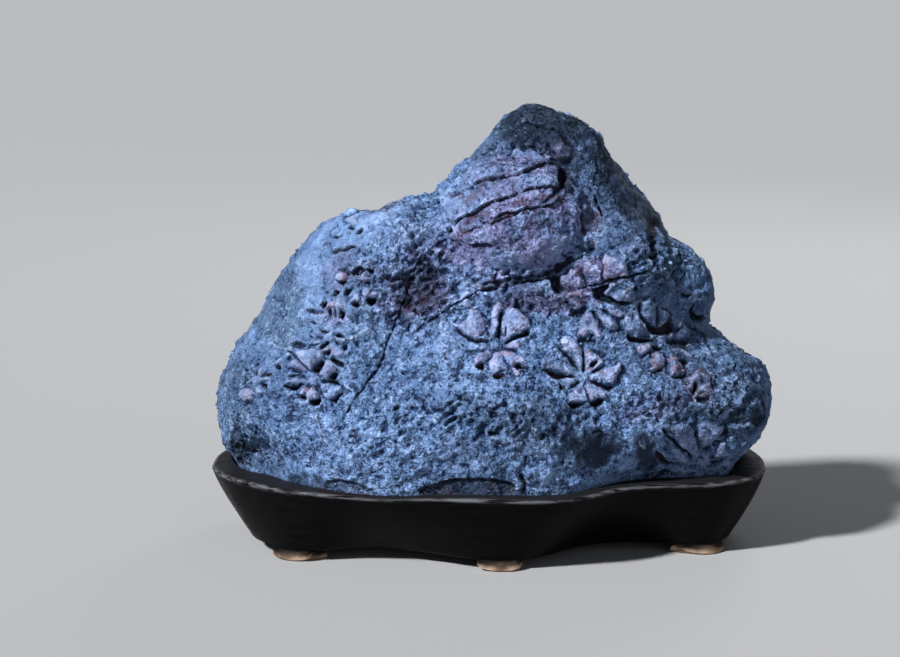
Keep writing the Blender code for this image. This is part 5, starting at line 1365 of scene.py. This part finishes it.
def make_foot(base, place):
    """One foot: a flat worn tread, a flared toe and a neck that runs up into the block."""
    outer, inner, inward, bow = foot_outline(base, place)
    lift = FOOT_END_LIFT * (1 - np.concatenate((bow, bow[::-1])))
    rings = []
    for height, toe, width in FOOT_RINGS:
        spread = FOOT_TOE * toe * bow[:, None]
        plan = np.concatenate((outer - inward * spread, inner + inward * 0.2 * spread))
        middle = plan.mean(0)
        level = height + lift * (height > 0)
        rings.append(np.column_stack((middle + (plan - middle) * width, level)))
    return lofted("foot", rings)


def make_feet():
    """All the feet as one guide object for the block to be joined with."""
    base = curve_through(BASE, FOOT_POINTS_PER_SPAN)
    joined = bmesh.new()
    for place in FEET:
        foot = make_foot(base, place)
        joined.from_mesh(foot.data)
        bpy.data.objects.remove(foot)
    mesh = bpy.data.meshes.new("stand_feet")
    joined.to_mesh(mesh)
    joined.free()
    feet = bpy.data.objects.new("stand_feet", mesh)
    bpy.context.collection.objects.link(feet)
    return feet


def make_stand():
    rim = curve_through(RIM, STAND_POINTS_PER_SPAN)
    base = curve_through(BASE, STAND_POINTS_PER_SPAN)
    height = rim[:, 2]
    top_edge = recess_edge(rim, height + 1.0)
    floor_edge = recess_edge(rim, np.full(len(rim), STONE_BASE + 3.0))
    floor_edge[:, 2] = RECESS_FLOOR
    underside = np.column_stack((base, np.full(len(base), STAND_UNDERSIDE)))
    rings = [0.5 * floor_edge + 0.5 * np.array(RECESS_MIDDLE), floor_edge]
    rim_inside = inset_ring(rim, RIM_WIDTH, height + 0.42)
    rings += [floor_edge + (top_edge - floor_edge) * t for t in (0.5, 0.94)]
    rings += [top_edge + (rim_inside - top_edge) * t for t in (0.03, 0.2, 0.4, 0.6, 0.8, 1.0)]
    rings += [inset_ring(rim, inset, height - drop) for inset, drop in RIM_LIP]
    rings += [wall_ring(rim, base, down) for down in np.linspace(0.06, 0.97, 34)]
    rings.append(underside * (0.985, 0.975, 1))
    rings.append(underside * (0.5, 0.5, 1))
    stand = lofted("stand_carved", rings)
    guide = make_feet()
    feet = stand.modifiers.new("Feet", "BOOLEAN")
    feet.operation = "UNION"
    feet.object = guide
    apply_modifiers(stand)
    bpy.data.objects.remove(guide)
    mesh = stand.data
    points = drawn_points(mesh)
    rim_level = np.interp(points[:, 0], (-140, -50, 140), (37.0, 36.2, 37.5))
    near_rim = np.full(len(points), 99.0)
    for start in range(0, len(points), 4000):
        away = points[start:start + 4000, None, :2] - rim[None, :, :2]
        near_rim[start:start + 4000] = np.sqrt((away ** 2).sum(-1).min(1))
    off_rim_level = np.abs(points[:, 2] - rim_level)
    # The rim's outer edge, which gets worn wood and a painted highlight
    edge = smoothstep(2.4, 0.3, near_rim) * smoothstep(1.6, 0.3, off_rim_level)
    top = smoothstep(rim_level - 1.0, rim_level - 0.2, points[:, 2]) * (1 - edge)
    toe = smoothstep(3.6, 1.0, points[:, 2])
    colour_map(mesh, "wood", edge, top, toe)
    mesh.shade_smooth()
    mesh.set_sharp_from_angle(angle=math.radians(WOOD_CREASE_ANGLE))
    return stand


class Nodes:
    """Short ways to add and join shader nodes in one material."""

    def __init__(self, name):
        self.material = bpy.data.materials.new(name)
        self.material.use_nodes = True
        self.tree = self.material.node_tree
        self.shader = self.tree.nodes["Principled BSDF"]

    def add(self, kind, inputs=(), **settings):
        node = self.tree.nodes.new(kind)
        for name, value in settings.items():
            setattr(node, name, value)
        for name, value in dict(inputs).items():
            self.put(node.inputs[name], value)
        return node

    def put(self, socket, value):
        if isinstance(value, bpy.types.NodeSocket):
            self.tree.links.new(value, socket)
        else:
            socket.default_value = value

    def parts(self, colour):
        made = self.add("ShaderNodeSeparateColor", {"Color": colour})
        return [made.outputs[channel] for channel in ("Red", "Green", "Blue")]

    def maps(self, name):
        return self.parts(self.add("ShaderNodeAttribute", attribute_name=name).outputs["Color"])

    def noise(self, vector, scale, detail=2.0, roughness=0.5, distortion=0.0):
        made = self.add("ShaderNodeTexNoise", {
            "Vector": vector, "Scale": scale, "Detail": detail, "Roughness": roughness,
            "Distortion": distortion})
        return made.outputs["Fac"]

    def chips(self, vector, scale):
        """Small flat facets, each tilted its own way: their height in metres, and a tone."""
        cells = self.add("ShaderNodeTexVoronoi", {"Vector": vector, "Scale": scale})
        inside = self.vectors("SUBTRACT", vector, cells.outputs["Position"])
        tilt = self.vectors("SUBTRACT", cells.outputs["Color"], (0.5, 0.5, 0.5))
        height = self.vectors("DOT_PRODUCT", inside, tilt, "Value")
        return height, self.parts(cells.outputs["Color"])[0]

    def ramp(self, factor, low, high):
        made = self.add("ShaderNodeMapRange", {
            "Value": factor, "From Min": low, "From Max": high}, interpolation_type="SMOOTHSTEP")
        return made.outputs["Result"]

    def vectors(self, operation, a, b, result="Vector"):
        made = self.add("ShaderNodeVectorMath", {0: a, 1: b}, operation=operation)
        return made.outputs[result]

    def math(self, operation, a, b=0.0):
        return self.add("ShaderNodeMath", {0: a, 1: b}, operation=operation).outputs["Value"]

    def plus(self, a, b):
        return self.math("ADD", a, b)

    def minus(self, a, b):
        return self.math("SUBTRACT", a, b)

    def times(self, a, b):
        return self.math("MULTIPLY", a, b)

    def total(self, *terms, start=None):
        """The sum of some values, each times its weight."""
        for value, weight in terms:
            share = self.times(value, weight)
            start = share if start is None else self.plus(start, share)
        return start

    def mix(self, factor, a, b):
        made = self.add("ShaderNodeMix", data_type="RGBA")
        self.put(made.inputs["Factor"], factor)
        self.put(made.inputs["A"], a)
        self.put(made.inputs["B"], b)
        return made.outputs["Result"]

    def tinted(self, base, mask, share, colour):
        """The base with a colour laid over it where the mask is, at most by the share."""
        return self.mix(self.times(mask, share), base, colour)

    def dressed(self, colour, roughness, specular, bump):
        """The material, with its colour, roughness, shine and bumps joined up."""
        parts = {"Base Color": colour, "Roughness": roughness, "Specular IOR Level": specular,
                 "Normal": self.add("ShaderNodeBump", bump).outputs["Normal"]}
        for name, value in parts.items():
            self.put(self.shader.inputs[name], value)
        return self.material


def stone_material():
    n = Nodes("chrysanthemum_stone")
    place = n.add("ShaderNodeTexCoord").outputs["Object"]
    petals, hollows, vein = n.maps("figure")
    purple, green, dark = n.maps("ground")
    sunk, raised, smooth = n.maps("hollow_shade_ridge_light_smooth")
    edges, blush = n.maps("tint")[:2]
    mottled = n.plus(n.times(n.ramp(n.noise(place, MOTTLES), 0.40, 0.58), 0.65), 0.35)
    purple = n.times(purple, mottled)

    # Grain: how light or dark each small place of the rock is, with painted light on ridges and
    # painted shade in hollows
    clouds = n.noise(place, CLOUDS, distortion=0.5)
    coarse = n.noise(place, COARSE_GRAINS, roughness=0.55, distortion=0.4)
    fine = n.noise(place, FINE_GRAINS, detail=1.0)
    swirl = n.add("ShaderNodeTexNoise", {"Vector": place, "Scale": SWIRLS, "Detail": 2.0})
    bent = n.vectors("ADD", place,
                     n.vectors("MULTIPLY", swirl.outputs["Color"], (SWIRL_REACH,) * 3))
    chip_height, chip_tone = n.chips(bent, CHIP_GRAINS)
    small_height, small_tone = n.chips(bent, SMALL_CHIP_GRAINS)
    grain = n.total((n.ramp(coarse, 0.38, 0.62), 0.26), (n.ramp(fine, 0.38, 0.62), 0.24),
                    (chip_tone, 0.18), (small_tone, 0.18))
    quiet = n.total((petals, 0.55), (smooth, 0.35))
    grain = n.times(n.minus(grain, 0.43), n.minus(1.0, quiet))
    tone = n.plus(n.times(n.ramp(clouds, 0.36, 0.64), 0.34), 0.31)
    # Painted light on ridges and painted shade in hollows join the grain here
    tone = n.total((raised, 0.30), (sunk, -0.55), (petals, 0.03), start=n.plus(tone, grain))

    # The ground colour of each place, its petals' bloom and their pink edges
    ground = n.mix(n.ramp(n.noise(place, BROAD_TONES), 0.38, 0.62), *BLUE_ROCK)
    ground = n.tinted(ground, purple, 0.90, PURPLE_ROCK)
    ground = n.tinted(ground, green, 0.75, GREEN_ROCK)
    bloom = n.mix(n.ramp(clouds, 0.42, 0.60), *PETAL_BLOOM)
    ground = n.tinted(ground, petals, 0.45, bloom)
    speckled = n.ramp(n.noise(place, SPECKLES), 0.40, 0.56)
    ground = n.tinted(ground, n.times(edges, speckled), 0.80, PINK_EDGE)

    # Light and deep grains, which also carry painted light on ridges and painted shade in hollows;
    # dark places of darker rock and painted shade; rusty bands; cracks and hollows darkened by
    # stain and painted shade; and pale veins over it
    light = n.mix(petals, n.mix(purple, *LIGHT_GRAIN_AND_RIDGE_LIGHT), LIGHT_PETAL_GRAIN_AND_RIDGE_LIGHT)
    deep = n.mix(purple, *DEEP_GRAIN_AND_HOLLOW_SHADE)
    rock = n.mix(n.ramp(tone, 0.46, 0.04), ground, deep)
    rock = n.mix(n.ramp(tone, 0.54, 1.02), rock, light)
    # Painted shade, with some darker rock, laid over the dark places
    rock = n.tinted(rock, dark, 0.94, SHADED_ROCK)
    rusty = n.ramp(n.noise(place, SPECKLES, 3.0, 0.6), 0.36, 0.62)
    rock = n.tinted(rock, n.times(blush, rusty), 0.80, RUSTY_BAND)
    stain_and_shade = n.mix(n.ramp(n.noise(place, STAIN_AND_SHADE_LUMPS), 0.50, 0.64), *CRACK_STAIN_AND_SHADE)
    rock = n.tinted(rock, hollows, 0.92, stain_and_shade)
    net = n.math("ABSOLUTE", n.minus(n.noise(place, VEIN_NET, 3.0, 0.6, 0.8), 0.5))
    veined = n.plus(n.noise(place, VEINED_PLACES, detail=1.0), n.times(green, 0.16))
    net = n.times(n.ramp(net, 0.0075, 0.002), n.ramp(veined, 0.52, 0.62))
    rock = n.tinted(rock, net, 0.45, THIN_VEIN)
    rock = n.tinted(rock, vein, 0.60, PALE_VEIN)

    roughness = n.total((smooth, -0.30), (petals, -0.16), start=0.86)
    relief = n.total((coarse, 0.0022), (fine, 0.0009), (chip_height, 1.9), (small_height, 1.4))
    strength = n.times(n.minus(1.0, n.times(smooth, 0.5)), n.minus(1.0, n.times(petals, 0.45)))
    bump = {"Height": relief, "Distance": 1.0, "Strength": strength}
    return n.dressed(rock, roughness, 0.16, bump)


def wood_material():
    n = Nodes("dark_carved_wood")
    place = n.add("ShaderNodeTexCoord").outputs["Object"]
    edge, top, toe = n.maps("wood")
    stretched = n.add("ShaderNodeMapping", {"Vector": place, "Scale": (9.0, 60.0, 150.0)})
    along_grain = stretched.outputs["Vector"]
    grain = n.noise(along_grain, 4.0, 6.0, 0.62, 0.6)
    streaks = n.ramp(grain, 0.40, 0.66)
    pores = n.ramp(n.noise(along_grain, 16.0, 3.0, 0.6), 0.56, 0.70)
    face = n.tinted(n.mix(streaks, *WOOD), pores, 0.6, WOOD_PORES)
    face = n.tinted(face, top, 0.6, WOOD_TOP)
    # Breaks up the rim edge's worn wood and painted highlight along the grain
    worn = n.ramp(n.noise(along_grain, 5.0, 4.0, 0.6), 0.38, 0.62)
    face = n.mix(n.times(edge, n.times(worn, 0.8)), face, WORN_EDGE_AND_HIGHLIGHT)
    toe_colour = n.mix(n.ramp(n.noise(place, TOE_STAINS, 4.0, 0.6), 0.35, 0.65), *WORN_TOE)
    face = n.tinted(face, toe, 0.9, toe_colour)
    roughness = n.total((streaks, 0.14), (toe, 0.2), start=0.40)
    bump = {"Height": grain, "Distance": 0.0004, "Strength": 0.5}
    return n.dressed(face, roughness, 0.06, bump)


def floor_material():
    n = Nodes("pale_floor")
    n.shader.inputs["Base Color"].default_value = FLOOR_GREY
    n.shader.inputs["Roughness"].default_value = 0.75
    return n.material


def aimed_light(name, kind, direction, power, colour):
    """A light that shines along a direction."""
    data = bpy.data.lights.new(name, kind)
    data.energy = power
    data.color = colour
    light = bpy.data.objects.new(name, data)
    bpy.context.collection.objects.link(light)
    yaw = math.atan2(direction[1], direction[0])
    pitch = math.atan2(math.hypot(direction[0], direction[1]), -direction[2])
    light.rotation_euler = (pitch, 0.0, yaw - math.pi / 2)
    return light


stone = make_stone()
stone.data.materials.clear()
stone.data.materials.append(stone_material())
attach(stone, "root")
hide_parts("stone")

stand = make_stand()
stand.data.materials.clear()
stand.data.materials.append(wood_material())
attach(stand, "root")
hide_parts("stand")

floor = mesh_object("floor", [
    (x * FLOOR_REACH, y * FLOOR_REACH, 0) for x, y in ((-1, -1), (1, -1), (1, 1), (-1, 1))],
    [(0, 1, 2, 3)])
floor.data.materials.append(floor_material())

world = bpy.data.worlds.new("studio")
bpy.context.scene.world = world
world.use_nodes = True
sky = world.node_tree
rising = sky.nodes.new("ShaderNodeTexCoord")
split = sky.nodes.new("ShaderNodeSeparateXYZ")
fall = sky.nodes.new("ShaderNodeMapRange")
fall.interpolation_type = "SMOOTHERSTEP"
fall.inputs["From Min"].default_value = 0.0
fall.inputs["From Max"].default_value = 0.45
blend = sky.nodes.new("ShaderNodeMix")
blend.data_type = "RGBA"
blend.inputs["A"].default_value = LOW_SKY
blend.inputs["B"].default_value = HIGH_SKY
sky.links.new(rising.outputs["Generated"], split.inputs["Vector"])
sky.links.new(split.outputs["Z"], fall.inputs["Value"])
sky.links.new(fall.outputs["Result"], blend.inputs["Factor"])
sky.links.new(blend.outputs["Result"], sky.nodes["Background"].inputs["Color"])

key = aimed_light("key", "SUN", (0.62, 0.44, -0.65), 6.6, (1.0, 1.0, 1.0))
key.data.angle = math.radians(6.0)
fill = aimed_light("fill", "SUN", (-0.6, 0.7, -0.35), 0.25, (0.9, 0.95, 1.0))
fill.data.angle = math.radians(40.0)
back = aimed_light("back", "AREA", (-0.5, -1.1, -0.8), 3.0, (1.0, 1.0, 1.0))
back.location = (0.5, 1.1, 0.9)
back.data.shape = "DISK"
back.data.size = 0.6

camera_data = bpy.data.cameras.new("camera")
camera_data.sensor_width = 36.0
camera_data.lens = 88.0
camera = bpy.data.objects.new("camera", camera_data)
bpy.context.collection.objects.link(camera)
camera.location = (AIM + VIEW_DISTANCE * TOWARD_VIEWER - ORIGIN) * METRES
camera.rotation_euler = (math.radians(90) - VIEW_RISE, 0.0, 0.0)
bpy.context.scene.camera = camera
bpy.context.scene.view_settings.view_transform = "Standard"
